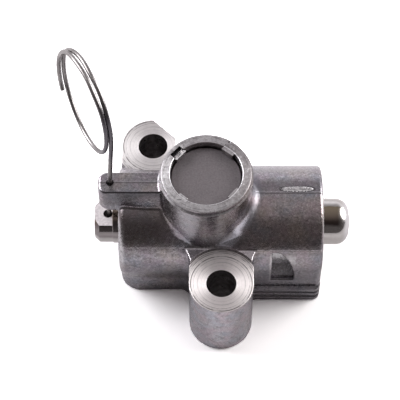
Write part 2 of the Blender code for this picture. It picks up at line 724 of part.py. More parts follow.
def front_guide_bush():
    """The bearing bush that guides the nose, with a groove for its seal."""
    end = BUSH_X + BUSH_LENGTH
    middle = BUSH_X + BUSH_LENGTH / 2
    half = BUSH_SEAL_WIRE_R + GAP
    floor = FRONT_SEAL_R - 2 * BUSH_SEAL_WIRE_R - GAP
    inner = NOSE_R + GAP
    profile = [
        (FRONT_SEAL_R, end),
        (FRONT_SEAL_R, middle + half),
        (floor, middle + half),
        (floor, middle - half),
        (FRONT_SEAL_R, middle - half),
        (FRONT_SEAL_R, BUSH_X),
        (inner, BUSH_X),
        (inner, end),
    ]
    return finish(baked(turned("front_guide_bush", profile, "X", MEDIUM_SEGMENTS, closed=True)), BRONZE)


def bush_o_ring():
    """The seal in the groove of the guide bush."""
    centre_r = FRONT_SEAL_R - BUSH_SEAL_WIRE_R
    middle = BUSH_X + BUSH_LENGTH / 2
    return finish(round_seal("bush_o_ring", centre_r, BUSH_SEAL_WIRE_R, middle, MEDIUM_SEGMENTS, "X"), RUBBER)


def front_wiper_seal():
    """The wiper in front of the guide bush."""
    end = WIPER_X + WIPER_THICKNESS
    return finish(flat_ring("front_wiper_seal", FRONT_SEAL_R, NOSE_R + GAP, WIPER_X, end, MEDIUM_SEGMENTS),
                  RUBBER)


def retaining_washer():
    """The washer between the wiper and the snap ring."""
    end = WASHER_X + WASHER_THICKNESS
    return finish(flat_ring("retaining_washer", FRONT_SEAL_R, NOSE_R + GAP, WASHER_X, end, MEDIUM_SEGMENTS),
                  SPRING_STEEL)


def snap_ring():
    """The split ring that holds the guide bush in."""
    start = SNAP_GROOVE_X + GAP
    outer = COUNTERBORE_R + SNAP_GROOVE_DEPTH - GAP
    half = SNAP_RING_OPENING / 2
    inner = outer - SNAP_RING_WIDTH
    points = arc(0.0, 0.0, outer, half, 2 * math.pi - half, 36)
    points += arc(0.0, 0.0, inner, 2 * math.pi - half, half, 36)
    ring = outline_solid("snap_ring", points, start, start + SNAP_RING_THICKNESS)
    ring.rotation_euler = (0.0, math.pi / 2, 0.0)
    ring.location = (0.0, 0.0, AXIS_Z)
    return finish(baked(ring), SPRING_STEEL)


def valve_cage():
    """The cup that holds the check valve, with a port in its floor."""
    profile = [
        (CAGE_R, CAGE_TOP_Z),
        (CAGE_R, CAGE_Z),
        (CAGE_PORT_R, CAGE_Z),
        (CAGE_PORT_R, CAGE_Z + CAGE_FLOOR),
        (CAGE_INNER_R, CAGE_Z + CAGE_FLOOR),
        (CAGE_INNER_R, CAGE_TOP_Z),
    ]
    return finish(baked(turned("valve_cage", profile, "Z", MEDIUM_SEGMENTS, closed=True)), SPRING_STEEL)


def valve_o_ring():
    """The seal round the valve cage, in a groove of the casting."""
    centre_r = CAGE_R + GAP + VALVE_SEAL_WIRE_R
    return finish(round_seal("valve_o_ring", centre_r, VALVE_SEAL_WIRE_R, VALVE_SEAL_Z, MEDIUM_SEGMENTS, "Z"),
                  RUBBER)


def valve_spring():
    """The light spring under the ball."""
    centre_r = CAGE_PORT_R + VALVE_SPRING_WIRE_R + GAP / 2
    spring = coil("valve_spring", centre_r, VALVE_SPRING_WIRE_R, VALVE_SPRING_Z,
                  VALVE_SPRING_Z + VALVE_SPRING_HEIGHT, VALVE_SPRING_TURNS, "Z", 10)
    return finish(spring, SPRING_STEEL)


def valve_ball():
    """The ball that lets oil down into the bore and not back."""
    bpy.ops.mesh.primitive_uv_sphere_add(segments=16, ring_count=10, radius=BALL_R, location=(0.0, 0.0, BALL_Z))
    ball = bpy.context.object
    ball.name = "valve_ball"
    return finish(ball, POLISHED_STEEL)


def valve_seat():
    """The seat disc above the ball."""
    outer = CAGE_INNER_R - GAP
    return finish(flat_ring("valve_seat", outer, SEAT_PORT_R, SEAT_Z, SEAT_Z + SEAT_THICKNESS,
                            MEDIUM_SEGMENTS, "Z"), SPRING_STEEL)


def inlet_screen():
    """The drilled screen disc over the valve seat."""
    outer = CAGE_INNER_R - GAP
    disc = rod("inlet_screen", outer, (0.0, 0.0, SCREEN_Z), (0.0, 0.0, SCREEN_Z + SCREEN_THICKNESS),
               MEDIUM_SEGMENTS)
    circle_r = outer - SCREEN_EDGE
    for index in range(SCREEN_HOLES):
        angle = 2 * math.pi * index / SCREEN_HOLES
        x = circle_r * math.cos(angle)
        y = circle_r * math.sin(angle)
        low = (x, y, SCREEN_Z - OVERRUN)
        high = (x, y, SCREEN_Z + SCREEN_THICKNESS + OVERRUN)
        disc = combined(disc, rod("screen_hole", SCREEN_HOLE_R, low, high, 8), "DIFFERENCE")
    return finish(disc, SPRING_STEEL)


def reservoir_cap():
    """The disc that closes the reservoir, under the four staked lips."""
    radius = MOUTH_R - GAP
    edge = RIM_CHAMFER
    profile = [
        (0.0, CAP_TOP_Z),
        (radius - edge, CAP_TOP_Z),
        (radius, CAP_TOP_Z - edge),
        (radius, CAP_BOTTOM_Z),
        (0.0, CAP_BOTTOM_Z),
    ]
    return finish(baked(turned("reservoir_cap", profile, "Z", LARGE_SEGMENTS)), DARK_STEEL)


def cap_seal():
    """The seal under the edge of the cap."""
    centre_r = MOUTH_R - GAP - CAP_SEAL_WIRE_R
    return finish(round_seal("cap_seal", centre_r, CAP_SEAL_WIRE_R, CAP_SEAL_Z, MEDIUM_SEGMENTS, "Z"), RUBBER)


def lock_pin():
    """The pull pin: one wire, straight through the lug into the tail, then coiled into a finger ring."""
    top = pin_point(RING_CENTRE_Z)
    outward = Vector((math.cos(RING_AZIMUTH), math.sin(RING_AZIMUTH), 0.0))
    sideways = Vector((-math.sin(RING_AZIMUTH), math.cos(RING_AZIMUTH), 0.0))
    upward = Vector((0.0, 0.0, math.cos(RING_TILT))) + sideways * math.sin(RING_TILT)
    along = upward.cross(outward)
    centre = top + outward * RING_R
    points = [pin_point(PIN_TIP_Z), pin_point(LUG_TOP_Z)]
    count = round(RING_SWEEP / (2 * math.pi) * RING_POINTS_PER_TURN)
    for step in range(count + 1):
        angle = RING_SWEEP * step / count
        around = upward * math.sin(angle) - outward * math.cos(angle)
        points.append(centre + around * RING_R + along * RING_PITCH * angle / (2 * math.pi))
    bend = wire("lock_pin", points, PIN_WIRE_R)
    tip = pin_point(PIN_TIP_Z)
    bend.data.transform(Matrix.Translation(-tip))
    bend.location = tip
    return finish(bend, SPRING_STEEL)


clear_scene()
PARTS = new_collection("balance_shaft_chain_tensioner")
CUTTERS = new_collection("cutters")
ALUMINIUM = material("cast_aluminium", (0.55, 0.55, 0.56), 0.9, 0.42)
POLISHED_STEEL = material("polished_steel", (0.62, 0.60, 0.57), 1.0, 0.15)
SPRING_STEEL = material("spring_steel", (0.42, 0.41, 0.39), 1.0, 0.32)
DARK_STEEL = material("dark_coated_steel", (0.13, 0.12, 0.125), 0.3, 0.75)
RUBBER = material("seal_rubber", (0.02, 0.02, 0.02), 0.0, 0.6)
DARK_POLYMER = material("ring_polymer", (0.08, 0.06, 0.05), 0.0, 0.5)
BRONZE = material("bearing_bronze", (0.45, 0.30, 0.14), 1.0, 0.35)

housing()
plunger()
piston_ring()
main_spring()
spring_seat()
rear_rod_seal()
front_guide_bush()
bush_o_ring()
front_wiper_seal()
retaining_washer()
snap_ring()
valve_cage()
valve_o_ring()
valve_spring()
valve_ball()
valve_seat()
inlet_screen()
reservoir_cap()
cap_seal()
lock_pin()
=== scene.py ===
"""Looks of the balance shaft chain tensioner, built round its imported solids."""
import math

import bmesh
import bpy
import numpy as np
from mathutils import Matrix, Vector


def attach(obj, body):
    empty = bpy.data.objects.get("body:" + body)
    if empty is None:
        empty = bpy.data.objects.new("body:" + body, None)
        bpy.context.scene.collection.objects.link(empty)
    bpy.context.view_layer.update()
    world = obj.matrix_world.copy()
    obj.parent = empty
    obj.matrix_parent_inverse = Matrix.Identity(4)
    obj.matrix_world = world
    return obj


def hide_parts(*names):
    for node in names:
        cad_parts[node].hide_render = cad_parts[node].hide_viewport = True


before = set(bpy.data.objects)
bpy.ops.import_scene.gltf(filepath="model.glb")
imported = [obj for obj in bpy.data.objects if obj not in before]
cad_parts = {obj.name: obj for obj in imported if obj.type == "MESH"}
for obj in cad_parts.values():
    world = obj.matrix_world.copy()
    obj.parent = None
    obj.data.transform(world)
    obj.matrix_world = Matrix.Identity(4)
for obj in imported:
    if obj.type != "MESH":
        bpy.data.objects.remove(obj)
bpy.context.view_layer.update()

MM = 0.001
MM_PER_METRE = 1000.0

# Sizes of the casting in millimetres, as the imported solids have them
AXIS_Z = 13.35
BARREL_R = 13.35
REAR_BARREL_R = 12.8
BARREL_FRONT_X = 27.4
BARREL_STEP_X = 2.0
BARREL_REAR_X = -20.55
BARREL_OVERLAP = 6.0
FLANK_Y = 11.65
FLANK_Z = 20.0
FLANK_LEAN = math.radians(15)
BLOCK_FOOT_Z = -5.0
FRONT_BLOCK_HALF = 13.45
FRONT_BLOCK_CORNER_R = 1.4
REAR_BLOCK_HALF = 11.5
REAR_BLOCK_CORNER_R = 4.7
FRONT_RIB_HALF = 14.25
RIB_CORNER_R = 1.7
RIB_COUNT = 3
RIB_PITCH = 2.0
RIB_HEIGHT = 1.4
RIB_FOOT = 3.0

EAR_R = 7.5
EAR_LENGTH = 13.0
HOLE_R = 3.5
EAR_FACE_Z = 19.3
EAR_CAST_Z = 20.0
EAR_EDGE = 0.16
SPOT_FACE_R = 9.0
FRONT_HOLE = (3.5, -19.9)
REAR_HOLE = (-12.8, 17.55)
# The front ear's waist and flare: how much it changes, and from where to where
EAR_WAIST, EAR_WAIST_SPAN = 0.3, (4.2, 5.4)
EAR_FLARE, EAR_FLARE_SPAN = 1.2, (5.4, 9.6)
REAR_EAR_CUT = 5.35
REAR_EAR_SLANT = math.radians(46)

BOSS_R = 10.85
BOSS_FOOT_Z = 8.0
RIM_R = 10.4
SHOULDER_Z = 34.4
BOSS_TOP_Z = 35.7
MOUTH_R = 8.35
CAP_TOP_Z = 33.8
CAP_THICKNESS = 2.05
CAP_FLAT_R = 7.75
CAP_EDGE_R = 0.3
LUG = ((-25.0, -8.0), (-2.78, 2.78), (23.8, 31.45))
LUG_CORNER_R = 1.9
LUG_DRAFT = 0.14
LUG_DRAFT_DEPTH = 6
PIN_HOLE_R = 0.9
PIN_HOLE_FOOT_Z = 20.0

# Far enough below and above to cut right through, and far enough inside to cut nothing
BELOW_Z = -9.0
ABOVE_Z = 60.0
WELL_INSIDE = -9.0
# Bores along the barrel: radius, start and end
COUNTERBORE_R = 8.9
COUNTERBORE_CHAMFER_X = 27.0
BORES = ((COUNTERBORE_R, 17.0, 40.0), (9.8, 24.7, 26.2), (7.5, -14.6, 20.0), (5.45, -40.0, -10.0))
# Bores down the boss, from the cap's recess to the valve's outlet: radius, bottom and top
WELLS = ((MOUTH_R, 30.15, ABOVE_Z), (7.0, 26.0, 31.0), (4.2, 21.9, 27.0), (1.6, 18.0, 23.0))
DIAGONAL = 0.7071

POCKET_LEFT_X = 15.45
POCKET_RIGHT_X = 20.75
POCKET_BOTTOM_Z = 8.75
POCKET_TOP_Z = 18.95
POCKET_ARC_X = 4.6
POCKET_ARC_Z = 9.0
POCKET_FLOOR_R = 10.2
POCKET_MOUTH_R = 13.4
POCKET_BACK_Y = -6

# Each stake by its angle: outer end of its slot, reach of its lip, crest, slope and half width
STAKES = {50: (8.80, 7.40, 35.55, 0.05, 1.55), 140: (9.50, 7.40, 35.38, 0.50, 1.55),
          230: (8.80, 7.80, 35.62, 0.02, 1.20), 320: (8.80, 7.75, 35.64, 0.02, 1.60)}
# A lip that slopes more than this was pressed hard
PRESSED_SLOPE = 0.1
SLOT_START_R = 7.9
SLOT_FLOOR_Z = 34.6
SLOT_GAP = 0.05
LIP_FOOT_Z = 34.0
LIP_PIVOT_R = 8.2
LIP_END_R = 8.98
PRESSED_LIP_END_R = 8.80
# The pit and the crack in the rim: where they lie, and the pit's radius or the crack's low and high ends
PIT, PIT_R = (5.29, 8.15, 35.75), 0.36
CRACK, CRACK_LOW, CRACK_HIGH = (-5.95, -7.1), (-0.75, -0.10, 35.1), (0.35, 0.10, 36.0)

# The plunger, as radii and places along X
NOSE_TIP_X = 34.4
NOSE_R = 5.54
NOSE_CROWN, NOSE_CROWN_R = 0.30, 2.3
NOSE_CORNER, NOSE_CORNER_R = (2.34, 30.9), 3.2
COLLAR_R = 6.9
COLLAR_X = (5.0, 9.0)
ROD_R = 5.15
TAIL_R = 4.95
TAIL_TIP_X = -26.5
TAIL_STEP_X = -22.2
TAIL_FLAT_Z = 17.05
TAIL_HOLE_X = -23.35

# The pull pin
PIN_X = -23.08
PIN_FOOT_Z = 17.05
PIN_TIP_Z = 14.65
PIN_BEND_Z = 41.0
PIN_LEAN = math.radians(3.4)
WIRE_R = 0.525
WIRE_EDGE = 0.12
RING_R = 12.06
RING_CENTRE_Z = 49.48
RING_AZIMUTH = math.radians(116.7)
RING_TILT = math.radians(-3.9)
RING_SWEEP = math.radians(577)
RING_PITCH = 1.2
RING_STEPS = 150
# How far the hand-bent ring strays along its axis, at each angle in degrees
RING_STRAY = ((0, 0.0), (45, 0.0), (60, 0.18), (78, -0.08), (105, 0.18), (135, -0.05), (180, 0.0),
              (340, 0.0), (360, 0.10), (380, 0.15), (405, 0.15), (420, -0.17), (438, 0.07), (465, -0.17),
              (495, 0.05), (540, 0.0), (577, -0.05))
STRAY_SMOOTHING = 13

# Meshing
CASTING_PITCH = 0.42
RIM_PITCH = 0.15
GRID_ROWS_AT_ONCE = 12
HALVINGS = 9
PROBE = 0.01
PULL_TO_MIDDLE = 0.03
PULL_FROM_EDGES = 0.2
SHARP_ANGLE = math.radians(32)
ROUND_SEGMENTS = 128
DRILL_SEGMENTS = 40
WIRE_SIDES = 20


# Distance fields


def joined(a, b, fillet):
    """Join two forms with a round fillet between them."""
    u = np.maximum(fillet - a, 0)
    v = np.maximum(fillet - b, 0)
    return np.maximum(fillet, np.minimum(a, b)) - np.sqrt(u * u + v * v)


def cut(a, b, edge):
    """Cut form b out of form a, with a rounded edge."""
    u = np.maximum(edge + a, 0)
    v = np.maximum(edge - b, 0)
    return np.minimum(-edge, np.maximum(a, -b)) + np.sqrt(u * u + v * v)


def capped(p, q, edge):
    """Meet two distances at right angles with a rounded edge."""
    u = np.maximum(p + edge, 0)
    v = np.maximum(q + edge, 0)
    return np.minimum(np.maximum(p, q) + edge, 0) + np.sqrt(u * u + v * v) - edge


def along_x(y, z, x, radius, start, end, edge=0.0):
    """A cylinder on the barrel axis."""
    across = np.sqrt(y * y + (z - AXIS_Z) ** 2) - radius
    length = np.abs(x - (start + end) / 2) - (end - start) / 2
    return capped(across, length, edge)


def upright(x, y, z, centre, radius, bottom, top, edge=0.0):
    """A cylinder along Z."""
    across = np.sqrt((x - centre[0]) ** 2 + (y - centre[1]) ** 2) - radius
    height = np.abs(z - (bottom + top) / 2) - (top - bottom) / 2
    return capped(across, height, edge)


def cuboid(x, y, z, low, high, edge=0.0):
    """A box with rounded edges."""
    qs = [np.abs(c - (a + b) / 2) - (b - a) / 2 + edge for c, a, b in zip((x, y, z), low, high)]
    outside = np.sqrt(sum(np.maximum(q, 0) ** 2 for q in qs))
    inside = np.minimum(np.maximum(np.maximum(qs[0], qs[1]), qs[2]), 0)
    return outside + inside - edge


def slab(x, y, z, x_range, half, z_range, corner, edge=0.25):
    """A block with rounded corners in plan."""
    p = np.abs(x - (x_range[0] + x_range[1]) / 2) - (x_range[1] - x_range[0]) / 2
    q = np.abs(y) - half
    plan = capped(p, q, corner)
    height = np.abs(z - (z_range[0] + z_range[1]) / 2) - (z_range[1] - z_range[0]) / 2
    return capped(plan, height, edge)


def ramp(value, low, high):
    """0 below low, 1 above high, smooth between."""
    t = np.clip((value - low) / (high - low), 0, 1)
    return t * t * (3 - 2 * t)


def ear(x, y, z, hole, inward):
    """A bolt ear: a round end and a straight neck that runs into the body."""
    dx = x - hole[0]
    dy = (y - hole[1]) * inward
    round_end = np.sqrt(dx * dx + dy * dy) - EAR_R
    width = EAR_R
    if hole is FRONT_HOLE:
        width = EAR_R - EAR_WAIST * ramp(dy, *EAR_WAIST_SPAN) + EAR_FLARE * ramp(dy, *EAR_FLARE_SPAN)
    neck = np.maximum(np.abs(dx) - width, np.maximum(-dy, dy - EAR_LENGTH))
    plan = np.minimum(round_end, neck)
    if hole is REAR_HOLE:
        slanted = dx * math.cos(REAR_EAR_SLANT) + (y - hole[1]) * math.sin(REAR_EAR_SLANT) - REAR_EAR_CUT
        side = dx - REAR_EAR_CUT
        plan = np.maximum(np.maximum(plan, slanted), side)
    return capped(plan, z - EAR_CAST_Z, EAR_EDGE)


def casting(x, y, z):
    """The die-cast body, without its machined rim."""
    body = along_x(y, z, x, BARREL_R, BARREL_STEP_X - BARREL_OVERLAP, BARREL_FRONT_X, 1.0)
    body = np.maximum(body, BARREL_STEP_X - x)
    rear = along_x(y, z, x, REAR_BARREL_R, BARREL_REAR_X, BARREL_STEP_X + BARREL_OVERLAP, 1.8)
    body = joined(body, rear, 0.3)
    front_span = (BARREL_STEP_X, BARREL_FRONT_X)
    block = slab(x, y, z, front_span, FRONT_BLOCK_HALF, (BLOCK_FOOT_Z, AXIS_Z), FRONT_BLOCK_CORNER_R)
    body = np.minimum(body, block)
    flank = -(y + FLANK_Y) * math.cos(FLANK_LEAN) + (z - FLANK_Z) * math.sin(FLANK_LEAN)
    body = np.maximum(body, np.where(x > BARREL_STEP_X, flank, WELL_INSIDE))
    for level in range(RIB_COUNT):
        bottom = RIB_PITCH * level
        foot = bottom - (RIB_FOOT if level == 0 else 0.0)
        rib = slab(x, y, z, front_span, FRONT_RIB_HALF, (foot, bottom + RIB_HEIGHT), RIB_CORNER_R)
        body = joined(body, rib, 0.35)
    block = slab(x, y, z, (BARREL_REAR_X, BARREL_STEP_X + 2), REAR_BLOCK_HALF, (BLOCK_FOOT_Z, AXIS_Z),
                 REAR_BLOCK_CORNER_R)
    body = joined(body, block, 1.2)
    root = 0.35 + 1.15 * (1 - ramp(z, 18.4, 20.0))
    body = joined(body, ear(x, y, z, FRONT_HOLE, 1), root)
    body = joined(body, ear(x, y, z, REAR_HOLE, -1), root)
    # the boss's fillet grows to the right and shrinks behind it and over the front ear
    boss = upright(x, y, z, (0, 0), BOSS_R, BOSS_FOOT_Z, SHOULDER_Z + 4, 0.2)
    fillet = 1.25 + 0.95 * ramp(x, -3.0, 8.0)
    fillet = fillet * (1 - 0.7 * ramp(y, -1.0, 4.0)) * (1 - 0.75 * ramp(-y, 8.6, 10.4))
    body = joined(body, boss, fillet)
    draft = LUG_DRAFT * np.clip(LUG[2][1] - z, 0, LUG_DRAFT_DEPTH) * ramp(x, -24.8, -13.0)
    lug_edge = 0.75 - 0.45 * ramp(x, -24.6, -22.0)
    lug = slab(x, y, z, LUG[0], LUG[1][1] + draft, LUG[2], LUG_CORNER_R, lug_edge)
    body = joined(body, lug, 0.5)
    body = np.maximum(body, z - SHOULDER_Z)
    for hole in (FRONT_HOLE, REAR_HOLE):
        body = cut(body, upright(x, y, z, hole, SPOT_FACE_R, EAR_FACE_Z, ABOVE_Z), 0.05)
        body = cut(body, upright(x, y, z, hole, HOLE_R, BELOW_Z, ABOVE_Z), 0.05)
    body = cut(body, pocket(x, y, z), 0.4)
    for radius, start, end in BORES:
        body = np.maximum(body, -along_x(y, z, x, radius, start, end))
    for radius, bottom, top in WELLS:
        body = np.maximum(body, -upright(x, y, z, (0, 0), radius, bottom, top))
    across = np.sqrt(y * y + (z - AXIS_Z) ** 2)
    body = np.maximum(body, -(across - COUNTERBORE_R - (x - COUNTERBORE_CHAMFER_X)) * DIAGONAL)
    leg_x = PIN_X + (z - PIN_FOOT_Z) * math.tan(PIN_LEAN)
    leg = np.sqrt((x - leg_x) ** 2 + y * y) - PIN_HOLE_R
    body = np.maximum(body, -np.maximum(leg, PIN_HOLE_FOOT_Z - z))
    return np.maximum(body, -z)


def pocket(x, y, z):
    """The D-shaped pocket in the front flank, with its floor round the bore."""
    depth = np.sqrt(y * y + (z - AXIS_Z) ** 2) - POCKET_FLOOR_R
    inward = np.clip(POCKET_MOUTH_R - depth - POCKET_FLOOR_R, 0, 4)
    left = POCKET_LEFT_X + 0.06 * inward
    cx, cz = POCKET_RIGHT_X - POCKET_ARC_X, POCKET_TOP_Z - POCKET_ARC_Z
    px, pz = (x - cx) / POCKET_ARC_X, (z - cz) / POCKET_ARC_Z
    arc_side = (np.sqrt(px * px + pz * pz) - 1) * POCKET_ARC_X
    straight = np.maximum(x - POCKET_RIGHT_X, z - POCKET_TOP_Z)
    corner = np.where((x > cx) & (z > cz), arc_side, straight)
    plan = np.maximum(np.maximum(left - x, POCKET_BOTTOM_Z - z), corner)
    draft = inward * 0.05
    return np.maximum(np.maximum(plan + draft, -depth), y - POCKET_BACK_Y)


def rim(x, y, z):
    """The machined rim of the boss with its four staked lips."""
    radius = np.sqrt(x * x + y * y)
    outside = capped(radius - RIM_R, z - BOSS_TOP_Z, 0.22)
    body = np.maximum(outside, SHOULDER_Z - z)
    body = cut(body, np.maximum(radius - MOUTH_R, 30 - z), 0.20)
    for degrees, (slot_end, reach, crest, slope, half) in STAKES.items():
        r, t = turned_to(degrees, x, y)
        slot = cuboid(r, t, z, (SLOT_START_R, -half - SLOT_GAP, SLOT_FLOOR_Z),
                      (slot_end, half + SLOT_GAP, 40.0), 0.08)
        body = cut(body, slot, 0.05)
        lean = z + (r - LIP_PIVOT_R) * slope
        lip_end = PRESSED_LIP_END_R if slope > PRESSED_SLOPE else LIP_END_R
        lip = cuboid(r, t, lean, (reach, -half, LIP_FOOT_Z), (lip_end, half, crest), 0.12)
        body = joined(body, lip, 0.05)
    pit = np.sqrt((x - PIT[0]) ** 2 + (y - PIT[1]) ** 2 + (z - PIT[2]) ** 2) - PIT_R
    body = cut(body, pit, 0.05)
    crack = cuboid(x - CRACK[0], y - CRACK[1], z, CRACK_LOW, CRACK_HIGH, 0.05)
    return cut(body, crack, 0.04)


def turned_to(degrees, x, y):
    """Coordinates that point outwards and sideways at an angle round the boss."""
    a = math.radians(degrees)
    return x * math.cos(a) + y * math.sin(a), -x * math.sin(a) + y * math.cos(a)


# From a distance field to a mesh


def gradient(field, points):
    """Unit normals of a field at points."""
    normals = np.empty_like(points)
    for axis in range(3):
        shift = np.zeros(3)
        shift[axis] = PROBE
        normals[:, axis] = field(*(points + shift).T) - field(*(points - shift).T)
    return normals / (np.linalg.norm(normals, axis=1, keepdims=True) + 1e-12)


def crossings(field, axes, grid, axis):
    """The places where the surface crosses the grid lines along one axis."""
    inside = grid < 0
    low = [slice(None)] * 3
    high = [slice(None)] * 3
    low[axis] = slice(None, -1)
    high[axis] = slice(1, None)
    index = np.argwhere(inside[tuple(low)] != inside[tuple(high)])
    points = np.stack([axes[k][index[:, k]] for k in range(3)], axis=1)
    start = points[:, axis].copy()
    end = axes[axis][index[:, axis] + 1]
    leaving = inside[tuple(index.T)]
    for _ in range(HALVINGS):
        middle = (start + end) / 2
        points[:, axis] = middle
        same = (field(*points.T) < 0) == leaving
        start = np.where(same, middle, start)
        end = np.where(same, end, middle)
    points[:, axis] = (start + end) / 2
    return index, points, leaving


def contoured(field, low, high, pitch):
    """Quads on the zero surface of a field, with points drawn onto its sharp edges."""
    axes = [np.arange(low[k], high[k] + pitch, pitch) for k in range(3)]
    size = [len(a) for a in axes]
    grid = np.empty(size, np.float32)
    for start in range(0, size[0], GRID_ROWS_AT_ONCE):
        rows = slice(start, start + GRID_ROWS_AT_ONCE)
        grid[rows] = field(*np.meshgrid(axes[0][rows], axes[1], axes[2], indexing="ij"))
    cells = np.array([size[1] * size[2], size[2], 1])
    places, normals, owners, faces = [], [], [], []
    for axis in range(3):
        index, points, leaving = crossings(field, axes, grid, axis)
        side, up = (axis + 1) % 3, (axis + 2) % 3
        corners = []
        for a, b in ((-1, -1), (0, -1), (0, 0), (-1, 0)):
            cell = index.copy()
            cell[:, side] += a
            cell[:, up] += b
            corners.append(cell @ cells)
        quad = np.stack(corners, axis=1)
        quad[~leaving] = quad[~leaving][:, ::-1]
        faces.append(quad)
        normal = gradient(field, points)
        for corner in corners:
            places.append(points)
            normals.append(normal)
            owners.append(corner)
    places, normals = np.vstack(places), np.vstack(normals)
    keys, owner = np.unique(np.concatenate(owners), return_inverse=True)
    count = np.bincount(owner)
    middle = np.stack([np.bincount(owner, places[:, k]) for k in range(3)], axis=1) / count[:, None]
    distance = np.einsum("ij,ij->i", normals, places - middle[owner])
    matrix = np.empty((len(keys), 3, 3))
    for i in range(3):
        for j in range(3):
            matrix[:, i, j] = np.bincount(owner, normals[:, i] * normals[:, j])
    matrix += np.eye(3) * PULL_TO_MIDDLE * count[:, None, None]
    right = np.stack([np.bincount(owner, normals[:, k] * distance) for k in range(3)], axis=1)
    offset = np.linalg.solve(matrix, right[:, :, None])[:, :, 0]
    spots = middle + offset
    cell = np.stack([keys // cells[0], keys % cells[0] // cells[1], keys % cells[1]], axis=1)
    for k in range(3):
        base = low[k] + cell[:, k] * pitch
        spots[:, k] = np.clip(spots[:, k], base, base + pitch)
    quads = np.searchsorted(keys, np.vstack(faces))
    return spots, quads


def field_piece(name, field, low, high, pitch, sorter, surfaces):
    """A mesh object made from a field, with exact normals and a material for each kind of face."""
    spots, quads = contoured(field, low, high, pitch)
    mesh = bpy.data.meshes.new(name)
    mesh.vertices.add(len(spots))
    mesh.vertices.foreach_set("co", (spots * MM).astype(np.float32).ravel())
    mesh.loops.add(quads.size)
    mesh.loops.foreach_set("vertex_index", quads.astype(np.int32).ravel())
    mesh.polygons.add(len(quads))
    mesh.polygons.foreach_set("loop_start", np.arange(0, quads.size, 4, dtype=np.int32))
    centres = spots[quads].mean(axis=1)
    kinds = sorter(centres, gradient(field, centres))
    mesh.polygons.foreach_set("material_index", kinds.astype(np.int32))
    mesh.update(calc_edges=True)
    mesh.validate()
    corners = spots[quads]
    pulled = (corners + PULL_FROM_EDGES * (centres[:, None, :] - corners)).reshape(-1, 3)
    normals = gradient(field, pulled)
    mesh.shade_smooth()
    mesh.normals_split_custom_set(normals.astype(np.float32).tolist())
    piece = bpy.data.objects.new(name, mesh)
    bpy.context.scene.collection.objects.link(piece)
    for surface in surfaces:
        mesh.materials.append(surface)
    print(name, len(spots), "points", len(quads), "quads")
    return piece


# Materials


